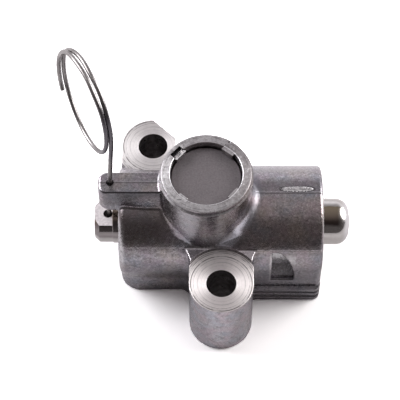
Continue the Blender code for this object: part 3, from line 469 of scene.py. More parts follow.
class Nodes:
    """Short ways to build the node tree of a material or a world."""

    def __init__(self, owner, empty=False):
        owner.use_nodes = True
        self.owner = owner
        self.tree = owner.node_tree
        if empty:
            self.tree.nodes.clear()

    def add(self, kind, **values):
        node = self.tree.nodes.new(kind)
        for key, value in values.items():
            setattr(node, key, value)
        return node

    def fill(self, socket, value):
        """Give a socket a number, a colour or another node's output."""
        if isinstance(value, (int, float)):
            socket.default_value = value
        elif isinstance(value, tuple):
            socket.default_value = (*value, 1.0)
        else:
            self.tree.links.new(value, socket)

    def place(self, stretch=(1, 1, 1), offset=(0, 0, 0)):
        """Object coordinates in millimetres."""
        coords = self.add("ShaderNodeTexCoord")
        mapping = self.add("ShaderNodeMapping")
        mapping.inputs["Scale"].default_value = [MM_PER_METRE * s for s in stretch]
        mapping.inputs["Location"].default_value = offset
        self.fill(mapping.inputs["Vector"], coords.outputs["Object"])
        return mapping.outputs["Vector"]

    def axes(self, vector):
        """The X, Y and Z of a vector."""
        split = self.add("ShaderNodeSeparateXYZ")
        self.fill(split.inputs[0], vector)
        return [split.outputs[k] for k in "XYZ"]

    def combined(self, **parts):
        """A vector from its named parts."""
        node = self.add("ShaderNodeCombineXYZ")
        for key, value in parts.items():
            self.fill(node.inputs[key], value)
        return node.outputs[0]

    def noise(self, vector, scale, detail=3.0, rough=0.55):
        node = self.add("ShaderNodeTexNoise")
        node.inputs["Scale"].default_value = scale
        node.inputs["Detail"].default_value = detail
        node.inputs["Roughness"].default_value = rough
        self.fill(node.inputs["Vector"], vector)
        return node.outputs["Fac"]

    def ranged(self, value, low, high, new_low=0.0, new_high=1.0, kind="LINEAR"):
        """A value's place between low and high, held at both ends."""
        node = self.add("ShaderNodeMapRange", interpolation_type=kind)
        node.inputs["From Min"].default_value = low
        node.inputs["From Max"].default_value = high
        node.inputs["To Min"].default_value = new_low
        node.inputs["To Max"].default_value = new_high
        self.fill(node.inputs["Value"], value)
        return node.outputs["Result"]

    def math(self, operation, a, b=None):
        node = self.add("ShaderNodeMath", operation=operation)
        for socket, value in zip(node.inputs, (a, b)):
            if value is not None:
                self.fill(socket, value)
        return node.outputs["Value"]

    def times(self, first, *others):
        """The product of values."""
        for value in others:
            first = self.math("MULTIPLY", first, value)
        return first

    def off(self, value, centre):
        """How far a value lies from a centre, to either side."""
        return self.math("ABSOLUTE", self.math("SUBTRACT", value, centre))

    def length(self, a, b):
        """The length of two sides at right angles."""
        return self.math("SQRT", self.math("ADD", self.times(a, a), self.times(b, b)))

    def mask(self, *spans):
        """Where every span holds: each is a value, where it starts and where it is full."""
        return self.times(*(self.ranged(*span) for span in spans))

    def mixed(self, factor, a, b, blend="MIX"):
        node = self.add("ShaderNodeMix", data_type="RGBA", blend_type=blend)
        for socket, value in ((node.inputs[0], factor), (node.inputs[6], a), (node.inputs[7], b)):
            self.fill(socket, value)
        return node.outputs[2]

    def painted(self, colour, tone, strength, *spans, blend="MIX"):
        """Lay a tone over a colour inside a mask."""
        return self.mixed(self.times(self.mask(*spans), strength), colour, tone, blend)

    def bump(self, height, strength, distance, normal=None):
        node = self.add("ShaderNodeBump")
        node.inputs["Strength"].default_value = strength
        node.inputs["Distance"].default_value = distance
        self.fill(node.inputs["Height"], height)
        if normal is not None:
            self.fill(node.inputs["Normal"], normal)
        return node.outputs["Normal"]

    def finish(self, colour, roughness, metallic, normal):
        """Join everything to the material's shader."""
        inputs = self.tree.nodes["Principled BSDF"].inputs
        for key, value in (("Base Color", colour), ("Roughness", roughness), ("Metallic", metallic),
                           ("Normal", normal)):
            self.fill(inputs[key], value)
        return self.owner

    def brush(self, strength, **parts):
        """Stretch the reflections across the rings of a turned face."""
        unit = self.add("ShaderNodeVectorMath", operation="NORMALIZE")
        self.fill(unit.inputs[0], self.combined(**parts))
        inputs = self.tree.nodes["Principled BSDF"].inputs
        self.fill(inputs["Anisotropic"], strength)
        self.fill(inputs["Tangent"], unit.outputs[0])

    def plain(self, kind, colour):
        """A shader of one colour."""
        node = self.add(kind)
        self.fill(node.inputs["Color"], colour)
        return node.outputs[0]

    def blended(self, factor, first, second):
        """Two shaders, mixed."""
        node = self.add("ShaderNodeMixShader")
        for socket, value in zip(node.inputs, (factor, first, second)):
            self.fill(socket, value)
        return node.outputs[0]


def material_nodes(name):
    """A new material's nodes."""
    return Nodes(bpy.data.materials.new(name))


def cast_skin():
    """Die-cast aluminium: a satin, mottled skin with a parting line and a trimmed gate on top."""
    n = material_nodes("cast_skin")
    at = n.place()
    x, y, z = n.axes(at)
    broad = n.noise(at, 0.16, 3.0)
    patch = n.noise(n.place(offset=(31, 7, 5)), 0.30, 3.0)
    blotch = n.noise(at, 0.75, 4.0, 0.6)
    grain = n.noise(at, 2.4, 4.0, 0.65)
    fleck = n.noise(n.place(offset=(0, 9, 4)), 1.5, 3.0, 0.7)
    speck = n.noise(n.place(offset=(3, 0, 0)), 1.5, 2.0, 0.6)
    from_barrel = n.length(y, n.math("SUBTRACT", z, AXIS_Z))
    from_boss = n.length(x, y)
    # the mottled skin itself
    colour = n.mixed(n.ranged(broad, 0.35, 0.65), (0.30, 0.31, 0.355), (0.44, 0.395, 0.385))
    for tone, span in (((0.385, 0.325, 0.375), (patch, 0.45, 0.62, 0.0, 0.70)),
                       ((0.22, 0.205, 0.205), (blotch, 0.46, 0.62, 0.0, 0.40)),
                       ((0.60, 0.58, 0.60), (grain, 0.52, 0.62, 0.0, 0.34)),
                       ((0.17, 0.16, 0.16), (grain, 0.47, 0.38, 0.0, 0.38)),
                       ((0.66, 0.64, 0.67), (fleck, 0.55, 0.66, 0.0, 0.55)),
                       ((0.15, 0.14, 0.14), (fleck, 0.44, 0.34, 0.0, 0.55))):
        colour = n.mixed(n.ranged(*span), colour, tone)
    # painted shade, brown, on the barrel under the lug
    shade_height = n.math("ADD", z, n.times(blotch, 6.0))
    colour = n.painted(colour, (0.14, 0.11, 0.10), 0.6, (x, -8.0, -11.5), (y, -2.9, -3.6),
                       (shade_height, 22.5, 25.5), (z, 27.0, 26.0))
    # the front of the front ear painted lighter, in pink and blue mottles
    tones = n.mixed(n.ranged(patch, 0.42, 0.58), (0.58, 0.61, 0.70), (0.67, 0.575, 0.62))
    colour = n.painted(colour, tones, 0.36, (y, -18.0, -21.0), (z, 21.0, 20.0), (blotch, 0.62, 0.45, 0.35, 1.0))
    # painted shade on the front face of the lug, deeper towards its right end, and a dark line along its top
    # edge
    colour = n.painted(colour, (0.08, 0.08, 0.085), 1.0, (y, -2.5, -2.7), (y, -3.4, -2.9), (z, 25.5, 26.5),
                       (x, -8.0, -9.5), (x, -24.5, -18.0, 0.35, 0.80))
    colour = n.painted(colour, (0.06, 0.055, 0.06), 0.85, (n.off(y, -2.62), 0.22, 0.10), (z, 30.9, 31.1),
                       (x, -8.5, -9.5))
    # warm tones on the front of the barrel
    colour = n.painted(colour, (1.04, 0.96, 0.90), 0.8, (y, -0.5, -2.0), (z, 17.5, 21.0), (x, 3.0, 9.0),
                       blend="MULTIPLY")
    # painted light inside the pocket, against the darkness of its depth, and a painted highlight along its left
    # edge
    colour = n.painted(colour, (0.86, 0.86, 0.88), 0.70, (from_barrel, 13.15, 12.85), (y, -5.0, -6.0),
                       (x, 14.9, 15.2), (x, 21.2, 20.9))
    colour = n.painted(colour, (0.80, 0.77, 0.79), 0.7, (n.off(x, 15.2), 0.35, 0.15), (y, -9.0, -9.5),
                       (z, 8.8, 9.3), (z, 19.2, 18.0), (from_barrel, 12.8, 13.1))
    # a painted highlight on the rounded end on the left
    colour = n.painted(colour, (0.80, 0.79, 0.81), 0.7, (x, -18.9, -19.6), (z, 12.0, 16.0), (z, 24.5, 23.0),
                       (y, -1.0, -3.5), (fleck, 0.30, 0.55))
    # painted shade at the foot of the boss, painted light on the cast top of the front ear, and a painted dark
    # reflection on the ledge beside it
    colour = n.painted(colour, (0.08, 0.075, 0.08), 0.55, (y, -9.6, -10.6), (y, -12.8, -11.9),
                       (z, 20.1, 20.4), (z, 24.0, 22.0), (n.off(x, 2.6), 8.0, 5.5))
    colour = n.painted(colour, (0.80, 0.76, 0.79), 0.70, (n.off(z, EAR_CAST_Z), 0.10, 0.04), (y, -10.2, -10.8))
    colour = n.painted(colour, (0.13, 0.12, 0.13), 0.45, (z, 19.95, 20.1), (z, 23.2, 20.8), (y, -8.6, -9.8),
                       (x, 8.5, 10.0))
    # painted light on the far side of the barrel, and a strip of painted shade before it
    colour = n.painted(colour, (0.58, 0.57, 0.61), 0.5, (y, 5.8, 8.6))
    colour = n.painted(colour, (0.17, 0.16, 0.17), 0.30, (y, 5.2, 3.2), (y, -0.6, 0.8), (x, 8.0, 12.0))
    # painted shade on the front flank and on the skirt below it
    colour = n.painted(colour, (0.16, 0.155, 0.165), 0.28, (y, -11.6, -11.9), (x, 10.5, 12.5), (z, 7.0, 9.0),
                       (from_barrel, 12.9, 13.3))
    colour = n.painted(colour, (0.155, 0.15, 0.17), 0.50, (z, 17.0, 10.0), (y, -12.2, -12.8),
                       (y, -15.5, -14.6))
    # a painted highlight along the fillet on the right of the boss, and painted light on its left front
    colour = n.painted(colour, (0.84, 0.85, 0.95), 0.70, (from_boss, 10.8, 11.1), (from_boss, 12.9, 11.6),
                       (x, 2.0, 5.5), (z, 18.5, 21.0), (y, -1.0, -4.0), (z, 27.5, 25.5))
    colour = n.painted(colour, (0.74, 0.73, 0.75), 0.46, (from_boss, 11.3, 11.0), (x, -1.0, -4.0),
                       (z, 24.5, 26.5), (y, -4.5, -6.5))
    # painted shade, deeper towards the table at the front
    low = n.math("ADD", z, n.times(broad, 5.0))
    colour = n.painted(colour, (0.11, 0.10, 0.105), 0.55, (low, 8.5, 3.0), (y, -17.0, -14.5))
    # the parting line: a dark groove, with a painted highlight on the seam beside it
    waver = n.times(n.math("SUBTRACT", n.noise(at, 0.6, 1.0), 0.5), 0.25)
    beside = n.math("SUBTRACT", n.math("ADD", y, waver), 0.30)
    up = n.ranged(z, 24.5, 25.5)
    seam = n.times(n.ranged(n.math("ABSOLUTE", beside), 0.22, 0.05), up)
    groove = n.times(n.ranged(n.off(beside, -0.36), 0.24, 0.05), up)
    colour = n.mixed(n.times(groove, 0.75), colour, (0.11, 0.10, 0.105))
    colour = n.mixed(n.times(seam, 0.5), colour, (0.62, 0.60, 0.64))
    # the trimmed gate: an oblong, rough patch with a dark border
    gate_x = n.math("DIVIDE", n.off(x, 21.3), 3.9)
    gate_y = n.math("DIVIDE", n.off(y, 1.15), 0.78)
    spread = n.math("ADD", n.math("POWER", gate_x, 3.0), n.math("POWER", gate_y, 2.0))
    spread = n.math("ADD", spread, n.times(n.math("SUBTRACT", grain, 0.5), 0.9))
    gate = n.times(n.ranged(spread, 0.85, 0.70), up)
    border = n.times(n.ranged(n.off(spread, 1.1), 0.35, 0.15), up)
    colour = n.mixed(n.times(border, 0.75), colour, (0.10, 0.095, 0.10))
    trimmed = n.mixed(n.ranged(speck, 0.42, 0.58), (0.45, 0.44, 0.45), (0.95, 0.94, 0.95))
    colour = n.mixed(gate, colour, trimmed)
    # painted shade that dims the highlight at the root of the fillet on the right, which is also made rougher
    dimmed_highlight = n.mask((from_boss, 13.6, 12.6), (x, 6.5, 8.0), (y, -6.0, -4.5), (z, 28.5, 27.5))
    colour = n.mixed(n.times(dimmed_highlight, 0.45), colour, (0.19, 0.19, 0.22))
    rough = n.math("ADD", n.ranged(blotch, 0.3, 0.7, 0.18, 0.31), n.times(dimmed_highlight, 0.14))
    line = n.math("ADD", n.times(seam, 0.7), n.ranged(beside, -0.2, 0.05))
    normal = n.bump(blotch, 0.28, 0.00020)
    normal = n.bump(grain, 0.42, 0.00008, normal)
    normal = n.bump(fleck, 0.30, 0.00010, normal)
    normal = n.bump(n.times(line, up), 0.6, 0.00008, normal)
    normal = n.bump(n.times(gate, speck), 0.8, 0.0002, normal)
    return n.finish(colour, rough, 0.95, normal)


def turned_face(name, centre, tone, rough, pitch, anisotropy, axes="XY", rings=()):
    """A face turned about a centre: fine rings that stretch the reflections across them."""
    n = material_nodes(name)
    at = n.place(offset=tuple(-c for c in centre))
    places = dict(zip("XYZ", n.axes(at)))
    a, b = (places[k] for k in axes)
    radius = n.length(a, b)
    across = n.combined(X=radius)
    fine = n.noise(across, 1.0 / pitch, 2.0, 0.7)
    wide = n.noise(across, 0.45 / pitch, 2.0, 0.6)
    cloud = n.noise(at, 0.45, 3.0)
    grain = n.noise(at, 2.0, 3.0, 0.6)
    dark = tuple(c * 0.55 for c in tone)
    colour = n.mixed(n.ranged(fine, 0.50, 0.32, 0.0, 0.75), tone, dark)
    colour = n.mixed(n.ranged(cloud, 0.45, 0.7, 0.0, 0.20), colour, dark)
    colour = n.mixed(n.ranged(grain, 0.45, 0.3, 0.0, 0.25), colour, dark)
    # dark rings: grooves, and painted shade where a ring lies in the corner at the foot of a wall
    for place, width, depth in rings:
        line = n.ranged(n.off(radius, place), width * 0.4, width, depth, 0.0)
        if place < UNBROKEN_RING_R:
            breaks = n.noise(at, 0.35 + place / 40.0, 1.0)
            line = n.times(line, n.ranged(breaks, 0.32, 0.50, 0.15, 1.0))
        colour = n.mixed(line, colour, (0.08, 0.07, 0.07))
    normal = n.bump(fine, 0.5, 0.00003)
    normal = n.bump(wide, 0.6, 0.00010, normal)
    n.brush(anisotropy, **dict(zip(axes, (a, b))))
    return n.finish(colour, n.ranged(cloud, 0.3, 0.7, rough - 0.03, rough + 0.05), 1.0, normal)


def rim_face():
    """The top of the boss: turned once, then scuffed and pressed by the staking tool."""
    n = material_nodes("rim_face")
    at = n.place()
    x, y, _ = n.axes(at)
    radius = n.length(x, y)
    polar = n.combined(X=radius, Y=n.times(n.math("ARCTAN2", y, x), 10.0))
    scuffs = n.noise(polar, 1.3, 4.0, 0.7)
    patches = n.noise(at, 0.55, 3.0, 0.6)
    grain = n.noise(at, 3.0, 3.0, 0.6)
    colour = n.mixed(n.ranged(patches, 0.40, 0.60), (0.74, 0.73, 0.74), (0.58, 0.565, 0.58))
    # painted shade on the right of the rim
    colour = n.painted(colour, (0.33, 0.305, 0.31), 0.9, (x, 2.0, 8.5))
    colour = n.mixed(n.ranged(scuffs, 0.53, 0.64, 0.0, 0.45), colour, (0.92, 0.91, 0.93))
    colour = n.mixed(n.ranged(scuffs, 0.47, 0.36, 0.0, 0.45), colour, (0.24, 0.22, 0.225))
    colour = n.mixed(n.ranged(grain, 0.46, 0.34, 0.0, 0.45), colour, (0.26, 0.245, 0.25))
    for place, width in ((8.62, 0.10), (9.75, 0.12)):
        colour = n.painted(colour, (0.16, 0.15, 0.155), 1.0, (patches, 0.42, 0.56),
                           (n.off(radius, place), width * 0.4, width, 0.6, 0.0))
    # a painted highlight along the edge of the mouth
    colour = n.mixed(n.ranged(n.off(radius, 8.43), 0.07, 0.16, 0.85, 0.0), colour, (0.97, 0.96, 0.98))
    normal = n.bump(scuffs, 0.4, 0.00010)
    normal = n.bump(grain, 0.3, 0.00004, normal)
    n.brush(0.65, X=x, Y=y)
    return n.finish(colour, n.ranged(scuffs, 0.3, 0.7, 0.36, 0.50), 1.0, normal)


def bored_wall():
    """The drilled and bored walls inside the holes."""
    n = material_nodes("bored_wall")
    rings = n.noise(n.place(stretch=(0.02, 0.02, 1.0)), 3.0, 2.0)
    cloud = n.noise(n.place(), 0.6, 2.0)
    colour = n.mixed(n.ranged(cloud, 0.35, 0.7), (0.62, 0.60, 0.60), (0.36, 0.34, 0.34))
    return n.finish(colour, n.ranged(cloud, 0.3, 0.7, 0.26, 0.40), 1.0, n.bump(rings, 0.6, 0.0001))


def ground_steel():
    """The polished plunger, with faint rings from grinding and a painted dark brown reflection along its top
    and upper front.
    """
    n = material_nodes("ground_steel")
    at = n.place()
    x, y, z = n.axes(at)
    rings = n.noise(n.place(stretch=(1.0, 0.03, 0.03)), 5.0, 3.0, 0.6)
    cloud = n.noise(at, 0.5, 2.0)
    colour = n.mixed(n.ranged(cloud, 0.3, 0.7), (0.62, 0.60, 0.585), (0.54, 0.515, 0.50))
    # a painted dark brown reflection along the top and upper front
    lean = n.math("ADD", y, n.math("SUBTRACT", cloud, 0.5))
    reflection_tone = n.mixed(n.ranged(lean, 0.8, -3.2), (0.34, 0.285, 0.21), (0.13, 0.10, 0.095))
    colour = n.painted(colour, reflection_tone, 1.0, (lean, 1.05, 0.85), (lean, -3.9, -3.2), (z, 15.6, 16.3),
                       (x, 32.3, 31.2))
    # painted shade on the front of the tail and painted light on the tip of the nose
    colour = n.painted(colour, (0.20, 0.175, 0.18), 0.75, (x, -20.0, -20.6), (z, 13.6, 14.4), (y, -2.6, -3.0))
    colour = n.mixed(n.ranged(x, 32.3, 33.2), colour, (0.74, 0.73, 0.74))
    rough = n.math("ADD", n.ranged(rings, 0.3, 0.7, 0.07, 0.16), n.ranged(x, 31.0, 32.5, 0.0, 0.10))
    return n.finish(colour, rough, 1.0, n.bump(rings, 0.18, 0.00001))


def drawn_wire():
    """Bright spring wire with faint marks from drawing."""
    n = material_nodes("drawn_wire")
    at = n.place()
    x, _, z = n.axes(at)
    grain = n.noise(at, 0.9, 3.0, 0.6)
    cloud = n.noise(at, 0.16, 2.0)
    colour = n.mixed(n.ranged(cloud, 0.38, 0.62), (0.42, 0.405, 0.40), (0.29, 0.275, 0.272))
    colour = n.mixed(n.ranged(grain, 0.5, 0.7, 0.0, 0.4), colour, (0.18, 0.17, 0.17))
    # painted shade on the right-hand side of the ring
    colour = n.painted(colour, (0.11, 0.105, 0.125), 0.8, (x, -26.3, -24.0), (z, 39.0, 44.0), (z, 60.0, 56.0))
    return n.finish(colour, n.ranged(grain, 0.3, 0.7, 0.23, 0.34), 1.0, n.bump(grain, 0.08, 0.00002))


def plated(name, tone, low, high, scale=1.8, shade=0.8, relief=0.2):
    """A turned, stamped or pressed metal face."""
    n = material_nodes(name)
    grain = n.noise(n.place(), scale, 4.0, 0.6)
    colour = n.mixed(n.ranged(grain, 0.35, 0.65), tone, tuple(c * shade for c in tone))
    return n.finish(colour, n.ranged(grain, 0.3, 0.7, low, high), 1.0, n.bump(grain, relief, 0.00002))


def dark_coating():
    """The matte dark coating of the cap, with a fine grit."""
    n = material_nodes("dark_coating")
    at = n.place()
    grit = n.noise(at, 2.4, 3.0, 0.75)
    cloud = n.noise(at, 0.3, 3.0)
    tone = n.mixed(n.ranged(cloud, 0.35, 0.7), (0.178, 0.158, 0.167), (0.158, 0.142, 0.150))
    colour = n.mixed(n.ranged(grit, 0.45, 0.70, 0.0, 0.55), tone, (0.27, 0.25, 0.26))
    colour = n.mixed(n.ranged(grit, 0.45, 0.28, 0.0, 0.55), colour, (0.10, 0.092, 0.096))
    return n.finish(colour, n.ranged(grit, 0.3, 0.7, 0.62, 0.80), 0.2, n.bump(grit, 0.4, 0.00003))


def soft_black(name, tone, rough):
    """Rubber or polymer."""
    n = material_nodes(name)
    grain = n.noise(n.place(), 2.5, 3.0)
    colour = n.mixed(n.ranged(grain, 0.3, 0.7), tone, tuple(c * 1.6 for c in tone))
    return n.finish(colour, rough, 0.0, n.bump(grain, 0.3, 0.00003))


CAST = cast_skin()
WALL = bored_wall()
GROUND = ground_steel()
WIRE = drawn_wire()
COATING = dark_coating()
RUBBER = soft_black("seal_black", (0.02, 0.02, 0.021), 0.6)
POLYMER = soft_black("ring_brown", (0.05, 0.035, 0.028), 0.5)
BRONZE = plated("bearing_bronze", (0.50, 0.34, 0.16), 0.28, 0.42)
STAMPED = plated("stamped_steel", (0.42, 0.41, 0.40), 0.28, 0.42)
# painted shade: the deep slot behind the hard-pressed lip is nearly black
SLOT_SHADE = plated("slot_shade", (0.07, 0.065, 0.07), 0.45, 0.60)
# the hard-pressed lip, painted near white as a highlight
LIT_PRESSED_LIP = plated("pressed_lip_highlight", (0.98, 0.97, 0.98), 0.34, 0.40, 0.35, 0.92, 0.03)
# the milled flat of the tail: rougher, and painted lighter than the ground steel beside it
MILLED = plated("milled_flat", (0.95, 0.91, 0.92), 0.55, 0.65)
# Grooves in the spot-faces, the one at 8.86 being painted shade in the corner at the foot of the wall: radius,
# width and strength
SPOT_RINGS = ((7.12, 0.13, 0.9), (5.6, 0.09, 0.35), (6.5, 0.09, 0.4), (8.0, 0.12, 0.6), (8.45, 0.10, 0.7),
              (8.86, 0.13, 0.9))
UNBROKEN_RING_R = 8.7
FRONT_SPOT = turned_face("front_spot_face", (*FRONT_HOLE, 0), (1.0, 0.955, 0.945), 0.51, 0.28, 0.60,
                         rings=SPOT_RINGS)
# the rear spot-face is machined like the front one, but painted darker as shade
REAR_SPOT = turned_face("rear_spot_face", (*REAR_HOLE, 0), (0.84, 0.815, 0.81), 0.51, 0.28, 0.48,
                        rings=SPOT_RINGS)
RIM_FACE = rim_face()
END_FACE = turned_face("end_face", (0, 0, AXIS_Z), (0.72, 0.71, 0.70), 0.40, 0.25, 0.7, "YZ")
BASE = turned_face("base_face", (0, 0, 0), (0.68, 0.67, 0.66), 0.40, 0.4, 0.3)
CASTING_SURFACES = (CAST, FRONT_SPOT, REAR_SPOT, WALL, END_FACE, BASE, RIM_FACE)
RIM_SURFACES = (RIM_FACE, LIT_PRESSED_LIP, WALL, CAST, SLOT_SHADE)


def casting_kinds(at, normal):
    """Which surface each face of the casting has."""
    kind = CASTING_SURFACES.index
    kinds = np.full(len(at), kind(CAST))
    x, y, z = at.T
    upward = normal[:, 2]
    kinds[(z < 0.06) & (upward < -0.9)] = kind(BASE)
    kinds[(np.abs(x - BARREL_FRONT_X) < 0.1) & (normal[:, 0] > 0.9)] = kind(END_FACE)
    for hole, surface in ((FRONT_HOLE, FRONT_SPOT), (REAR_HOLE, REAR_SPOT)):
        radius = np.hypot(x - hole[0], y - hole[1])
        level = np.abs(z - EAR_FACE_Z) < 0.12
        kinds[level & (upward > 0.6) & (radius < SPOT_FACE_R + 0.1)] = kind(surface)
        kinds[(radius < HOLE_R + 0.2) & (upward < 0.6)] = kind(WALL)
    kinds[np.hypot(y, z - AXIS_Z) < 9.9] = kind(WALL)
    kinds[(np.hypot(x, y) < MOUTH_R + 0.15) & (z > 21)] = kind(WALL)
    kinds[(np.abs(z - SHOULDER_Z) < 0.1) & (upward > 0.9)] = kind(RIM_FACE)
    return kinds


def rim_kinds(at, normal):
    """Which surface each face of the rim has: turned on top, apart from what the punch pressed."""
    kind = RIM_SURFACES.index
    kinds = np.full(len(at), kind(RIM_FACE))
    x, y, z = at.T
    upward = normal[:, 2]
    radius = np.hypot(x, y)
    kinds[(upward < 0.4) & (radius > 9.8)] = kind(CAST)
    kinds[(upward < 0.4) & (radius < 9.0)] = kind(WALL)
    for degrees, (slot_end, _, _, slope, _) in STAKES.items():
        pressed = slope > PRESSED_SLOPE
        r, t = turned_to(degrees, x, y)
        near = np.abs(t) < 1.85
        slot = near & (r < slot_end + 0.05)
        # the hard-pressed lip gets the painted highlight
        kinds[(r > 7) & (r < 9.0) & near & (upward > 0.5)] = kind(LIT_PRESSED_LIP if pressed else RIM_FACE)
        kinds[slot & (r > SLOT_START_R) & (upward < 0.6) & (z < 35.62)] = kind(WALL)
        kinds[slot & (r > 9.0) & (z < 35.3)] = kind(WALL)
        # the deep slot behind a hard-pressed lip gets the painted slot shade
        if pressed:
            deep = (z < 34.95) | (upward < 0.4)
            kinds[near & (r > 8.72) & (r < slot_end + 0.12) & deep] = kind(SLOT_SHADE)
    return kinds


body_mesh = field_piece("casting", casting, (-26, -28.6, -1), (28.6, 26.3, 35.2), CASTING_PITCH,
                        casting_kinds, CASTING_SURFACES)
rim_mesh = field_piece("staked_rim", rim, (-10.8, -10.8, 33.9), (10.8, 10.8, 36.0), RIM_PITCH,
                       rim_kinds, RIM_SURFACES)


def turned(name, profile, surface, axis="X", segments=ROUND_SEGMENTS):
    """A turned piece from (radius, height) points in millimetres."""
    angles = np.linspace(0, 2 * math.pi, segments, endpoint=False)
    mesh = bmesh.new()
    rows = []
    for radius, height in profile:
        row = []
        for a in angles[:1] if radius == 0 else angles:
            u, v = radius * math.cos(a), radius * math.sin(a)
            spot = (height, u, AXIS_Z + v) if axis == "X" else (u, v, height)
            row.append(mesh.verts.new([c * MM for c in spot]))
        rows.append(row)
    for first, second in zip(rows, rows[1:]):
        for k in range(segments):
            m = (k + 1) % segments
            ring = [first[k % len(first)], first[m % len(first)], second[m % len(second)],
                    second[k % len(second)]]
            mesh.faces.new(list(dict.fromkeys(ring)))
    bmesh.ops.recalc_face_normals(mesh, faces=mesh.faces)
    return placed(name, mesh, surface)


def placed(name, mesh, surface):
    """Turn a bmesh into a smooth object with a material."""
    data = bpy.data.meshes.new(name)
    mesh.to_mesh(data)
    mesh.free()
    data.materials.append(surface)
    data.shade_smooth()
    data.set_sharp_from_angle(angle=SHARP_ANGLE)
    piece = bpy.data.objects.new(name, data)
    bpy.context.scene.collection.objects.link(piece)
    return piece


def arc(centre, radius, start, end, count):
    """Profile points along an arc, in degrees from +height towards +radius."""
    return [(centre[0] + radius * math.sin(math.radians(start + (end - start) * k / count)),
             centre[1] + radius * math.cos(math.radians(start + (end - start) * k / count)))
            for k in range(count + 1)]


def plunger():
    """The plunger with a crowned nose, a collar and a stepped, flatted tail."""
    profile = [(0.0, NOSE_TIP_X)]
    profile += [(r, NOSE_TIP_X - NOSE_CROWN * (r / NOSE_CROWN_R) ** 2) for r in np.linspace(0.3, 1.9, 6)]
    profile += arc(NOSE_CORNER, NOSE_CORNER_R, 4, 90, 24)
    profile += [(NOSE_R, COLLAR_X[1]), (COLLAR_R, COLLAR_X[1]), (COLLAR_R, COLLAR_X[0]),
                (ROD_R, COLLAR_X[0]), (ROD_R, -22.05), (5.0, TAIL_STEP_X), (TAIL_R, TAIL_STEP_X),
                (TAIL_R, -25.35), (3.9, -26.45), (3.8, TAIL_TIP_X), (0.0, TAIL_TIP_X)]
    piece = turned("plunger_steel", profile, GROUND)
    cutter = bmesh.new()
    bmesh.ops.create_cube(cutter, size=1.0)
    bmesh.ops.scale(cutter, vec=(8 * MM, 14 * MM, 6 * MM), verts=cutter.verts)
    bmesh.ops.translate(cutter, vec=((TAIL_STEP_X - 4.0) * MM, 0, (TAIL_FLAT_Z + 3.0) * MM),
                        verts=cutter.verts)
    apply_cut(piece, placed("flat_cutter", cutter, GROUND))
    drill = turned("drill_cutter", [(0, 19.0), (1.25, 19.0), (1.1, 16.95), (1.1, 13.7), (0, 13.2)],
                   WALL, "Z", DRILL_SEGMENTS)
    drill.data.transform(Matrix.Translation((TAIL_HOLE_X * MM, 0, 0)))
    apply_cut(piece, drill)
    piece.data.materials.append(MILLED)
    piece.data.materials.append(WALL)
    for face in piece.data.polygons:
        spot = face.center / MM
        face.material_index = 0
        if spot.x < TAIL_STEP_X + 0.1 and abs(spot.z - TAIL_FLAT_Z) < 0.05 and face.normal.z > 0.9:
            face.material_index = 1
        elif math.hypot(spot.x - TAIL_HOLE_X, spot.y) < 1.3 and spot.z < TAIL_FLAT_Z + 0.05:
            face.material_index = 2
    return piece


def apply_cut(piece, cutter):
    """Cut one mesh with another, for good."""
    change = piece.modifiers.new("cut", "BOOLEAN")
    change.object = cutter
    change.operation = "DIFFERENCE"
    change.solver = "EXACT"
    bpy.context.view_layer.update()
    result = bpy.data.meshes.new_from_object(piece.evaluated_get(bpy.context.evaluated_depsgraph_get()))
    piece.modifiers.clear()
    piece.data = result
    result.set_sharp_from_angle(angle=SHARP_ANGLE)
    bpy.data.objects.remove(cutter)


def pull_pin():
    """The wire: straight through the lug, a short bend, then the coiled finger ring."""
    lean = math.tan(PIN_LEAN)
    top = Vector((PIN_X + (RING_CENTRE_Z - PIN_FOOT_Z) * lean, 0, RING_CENTRE_Z))
    out = Vector((math.cos(RING_AZIMUTH), math.sin(RING_AZIMUTH), 0))
    side = Vector((-math.sin(RING_AZIMUTH), math.cos(RING_AZIMUTH), 0))
    up = Vector((0, 0, math.cos(RING_TILT))) + side * math.sin(RING_TILT)
    along = up.cross(out)
    centre = top + out * RING_R
    points = [Vector((PIN_X + (z - PIN_FOOT_Z) * lean, 0, z)) for z in np.linspace(PIN_TIP_Z, PIN_BEND_Z, 28)]
    angles = np.linspace(0, RING_SWEEP, RING_STEPS + 1)
    knots = [math.radians(degrees) for degrees, _ in RING_STRAY]
    stray = np.interp(angles, knots, [value for _, value in RING_STRAY])
    kernel = np.hanning(STRAY_SMOOTHING) / np.hanning(STRAY_SMOOTHING).sum()
    stray = np.convolve(np.pad(stray, STRAY_SMOOTHING // 2, mode="edge"), kernel, mode="valid")
    ring = []
    for a, shift in zip(angles, stray):
        ring.append(centre + (up * math.sin(a) - out * math.cos(a)) * RING_R
                    + along * (RING_PITCH * a / (2 * math.pi) - float(shift)))
    # a smooth bend from the leg into the ring
    start, goal = points[-1], ring[2]
    heading = (points[-1] - points[-2]).normalized()
    arriving = (ring[3] - ring[2]).normalized()
    gap = (goal - start).length
    for step in range(1, 10):
        t = step / 10
        h = [2 * t**3 - 3 * t**2 + 1, t**3 - 2 * t**2 + t, 3 * t**2 - 2 * t**3, t**3 - t**2]
        points.append(start * h[0] + heading * gap * h[1] + goal * h[2] + arriving * gap * h[3])
    points += ring[2:]
    return tube("pin_wire", points, WIRE_R, WIRE, WIRE_SIDES)


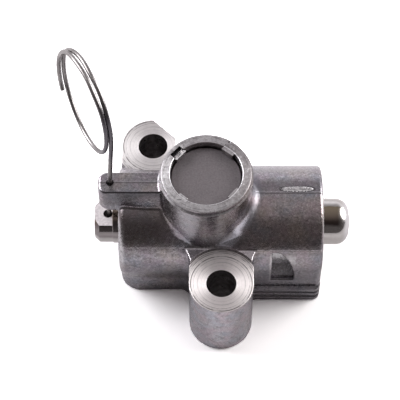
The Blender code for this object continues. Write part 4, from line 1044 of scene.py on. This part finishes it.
def tube(name, points, radius, surface, sides):
    """A round wire swept along points, with slightly rounded ends."""
    mesh = bmesh.new()
    normal = None
    rows = []
    spans = [(points[min(i + 1, len(points) - 1)] - points[max(i - 1, 0)]).normalized()
             for i in range(len(points))]
    edge = WIRE_EDGE
    stations = [(points[0], spans[0], radius - edge), (points[0] + spans[0] * edge, spans[0], radius)]
    stations += [(p, t, radius) for p, t in zip(points[1:-1], spans[1:-1])]
    stations += [(points[-1] - spans[-1] * edge, spans[-1], radius), (points[-1], spans[-1], radius - edge)]
    for spot, along, size in stations:
        if normal is None:
            normal = along.orthogonal().normalized()
        normal = (normal - along * normal.dot(along)).normalized()
        other = along.cross(normal)
        row = []
        for k in range(sides):
            a = 2 * math.pi * k / sides
            row.append(mesh.verts.new((spot + (normal * math.cos(a) + other * math.sin(a)) * size) * MM))
        rows.append(row)
    for first, second in zip(rows, rows[1:]):
        for k in range(sides):
            m = (k + 1) % sides
            mesh.faces.new((first[k], first[m], second[m], second[k]))
    mesh.faces.new(rows[0][::-1])
    mesh.faces.new(rows[-1])
    bmesh.ops.recalc_face_normals(mesh, faces=mesh.faces)
    return placed(name, mesh, surface)


cap = turned("cap_disc", [(0, CAP_TOP_Z), (CAP_FLAT_R, CAP_TOP_Z)]
             + arc((CAP_FLAT_R, CAP_TOP_Z - CAP_EDGE_R), CAP_EDGE_R, 10, 90, 5)
             + [(8.05, CAP_TOP_Z - CAP_THICKNESS), (0, CAP_TOP_Z - CAP_THICKNESS)], COATING, "Z")
steel = plunger()
pin = pull_pin()

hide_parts("housing")
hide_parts("housing")
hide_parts("reservoir_cap")
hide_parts("plunger")
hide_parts("lock_pin")
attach(body_mesh, "body")
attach(rim_mesh, "body")
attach(cap, "body")
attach(steel, "plunger")
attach(pin, "pull_pin")

FINISHES = {
    "piston_ring": POLYMER, "main_spring": WIRE, "spring_seat": STAMPED, "rear_rod_seal": RUBBER,
    "front_guide_bush": BRONZE, "bush_o_ring": RUBBER, "front_wiper_seal": RUBBER,
    "retaining_washer": STAMPED, "snap_ring": STAMPED, "valve_cage": STAMPED, "valve_o_ring": RUBBER,
    "valve_spring": WIRE, "valve_ball": GROUND, "valve_seat": STAMPED, "inlet_screen": STAMPED,
    "cap_seal": RUBBER,
}
for node, surface in FINISHES.items():
    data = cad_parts[node].data
    data.materials.clear()
    data.materials.append(surface)


# Floor, light and camera

TABLE_TONE = (0.72, 0.70, 0.71)
SEEN_TABLE_TONE = (1.80, 1.795, 1.795)
WHITE = (1.0, 1.0, 1.0)
ROOM_TONE = (0.11, 0.10, 0.10)
CEILING_TONE = (0.48, 0.455, 0.465)
SWEEP_TONE = (1.15, 1.12, 1.17)
# How much of the table that the camera sees is also seen by metal
GLOSSY_SHARE = 0.16
# The table turns into plain white between these distances from the part, in metres
WHITE_FROM, WHITE_AT = 0.03, 0.12


def floor_surface():
    """A white table that stays white to the camera and keeps the shadow."""
    n = Nodes(bpy.data.materials.new("table"), empty=True)
    ray = n.add("ShaderNodeLightPath").outputs
    coords = n.add("ShaderNodeTexCoord")
    distance = n.add("ShaderNodeVectorMath", operation="LENGTH")
    n.fill(distance.inputs[0], coords.outputs["Object"])
    away = n.ranged(distance.outputs["Value"], WHITE_FROM, WHITE_AT, kind="SMOOTHSTEP")
    seen = n.blended(away, n.plain("ShaderNodeBsdfDiffuse", SEEN_TABLE_TONE),
                     n.plain("ShaderNodeEmission", WHITE))
    share = n.math("MAXIMUM", ray["Is Camera Ray"], n.times(ray["Is Glossy Ray"], GLOSSY_SHARE))
    share = n.math("MAXIMUM", ray["Is Transmission Ray"], share)
    surface = n.blended(share, n.plain("ShaderNodeBsdfDiffuse", TABLE_TONE), seen)
    n.fill(n.add("ShaderNodeOutputMaterial").inputs["Surface"], surface)
    return n.owner


floor_mesh = bpy.data.meshes.new("table")
floor_mesh.from_pydata([(-3, -3, 0), (3, -3, 0), (3, 3, 0), (-3, 3, 0)], [], [(0, 1, 2, 3)])
floor_mesh.materials.append(floor_surface())
table = bpy.data.objects.new("table", floor_mesh)
table.location = (0, 0, -0.00002)
bpy.context.scene.collection.objects.link(table)


def studio():
    """A dim room with a pale ceiling over the object and a bright sweep behind it."""
    world = bpy.data.worlds.new("studio")
    bpy.context.scene.world = world
    n = Nodes(world, empty=True)
    coords = n.add("ShaderNodeTexCoord")

    def toward(direction, low, high):
        """How far a ray points in a direction."""
        dot = n.add("ShaderNodeVectorMath", operation="DOT_PRODUCT")
        dot.inputs[1].default_value = direction
        n.fill(dot.inputs[0], coords.outputs["Generated"])
        return n.ranged(dot.outputs["Value"], low, high, kind="SMOOTHSTEP")

    room = n.mixed(toward((0.0, 0.35, 0.937), 0.56, 1.0), ROOM_TONE, CEILING_TONE)
    sweep = n.times(toward((0.0, 0.0, 1.0), 0.64, 0.16), toward((0.0, 1.0, 0.0), -0.15, 0.35))
    room = n.mixed(sweep, room, SWEEP_TONE)
    ray = n.add("ShaderNodeLightPath").outputs
    seen = n.math("MAXIMUM", ray["Is Transmission Ray"], ray["Is Camera Ray"])
    surface = n.blended(seen, n.plain("ShaderNodeBackground", room), n.plain("ShaderNodeBackground", WHITE))
    n.fill(n.add("ShaderNodeOutputWorld").inputs["Surface"], surface)


def softbox(name, place, power, colour):
    """A round soft light that faces the object."""
    data = bpy.data.lights.new(name, "AREA")
    data.shape = "ELLIPSE"
    data.size, data.size_y = SOFTBOX_SIZE
    data.energy = power
    data.color = colour
    lamp = bpy.data.objects.new(name, data)
    lamp.location = place
    lamp.rotation_euler = (SOFTBOX_TARGET - Vector(place)).to_track_quat("-Z", "Y").to_euler()
    bpy.context.scene.collection.objects.link(lamp)


SOFTBOX_SIZE = (0.38, 0.42)
SOFTBOX_TARGET = Vector((0, 0, 0.01))
studio()
softbox("right_softbox", (0.41, 0.15, 0.23), 2.0, (1.0, 0.98, 0.97))
softbox("left_softbox", (-0.39, 0.19, 0.27), 2.2, (0.99, 0.98, 1.0))

# The camera was fitted to the photograph: it looks down at 59.7 degrees from 0.40 m away
ELEVATION = math.radians(59.674)
FOCAL_PIXELS = 1681.3
PICTURE_PIXELS = 400
AXIS_DISTANCE = 403.44
AIM = Vector((-1.430, 4.414, 15.93)) * MM
SENSOR = 36.0
camera_data = bpy.data.cameras.new("camera")
camera_data.sensor_width = SENSOR
camera_data.lens = FOCAL_PIXELS / PICTURE_PIXELS * SENSOR
camera = bpy.data.objects.new("camera", camera_data)
look = Vector((0, math.cos(ELEVATION), -math.sin(ELEVATION)))
aim_y, aim_z = AIM.y * MM_PER_METRE, AIM.z * MM_PER_METRE
depth = AXIS_DISTANCE + aim_y * math.cos(ELEVATION) - (aim_z - AXIS_Z) * math.sin(ELEVATION)
camera.location = AIM - look * depth * MM
camera.rotation_mode = "QUATERNION"
camera.rotation_quaternion = look.to_track_quat("-Z", "Y")
bpy.context.scene.collection.objects.link(camera)
bpy.context.scene.camera = camera
bpy.context.scene.view_settings.view_transform = "Standard"
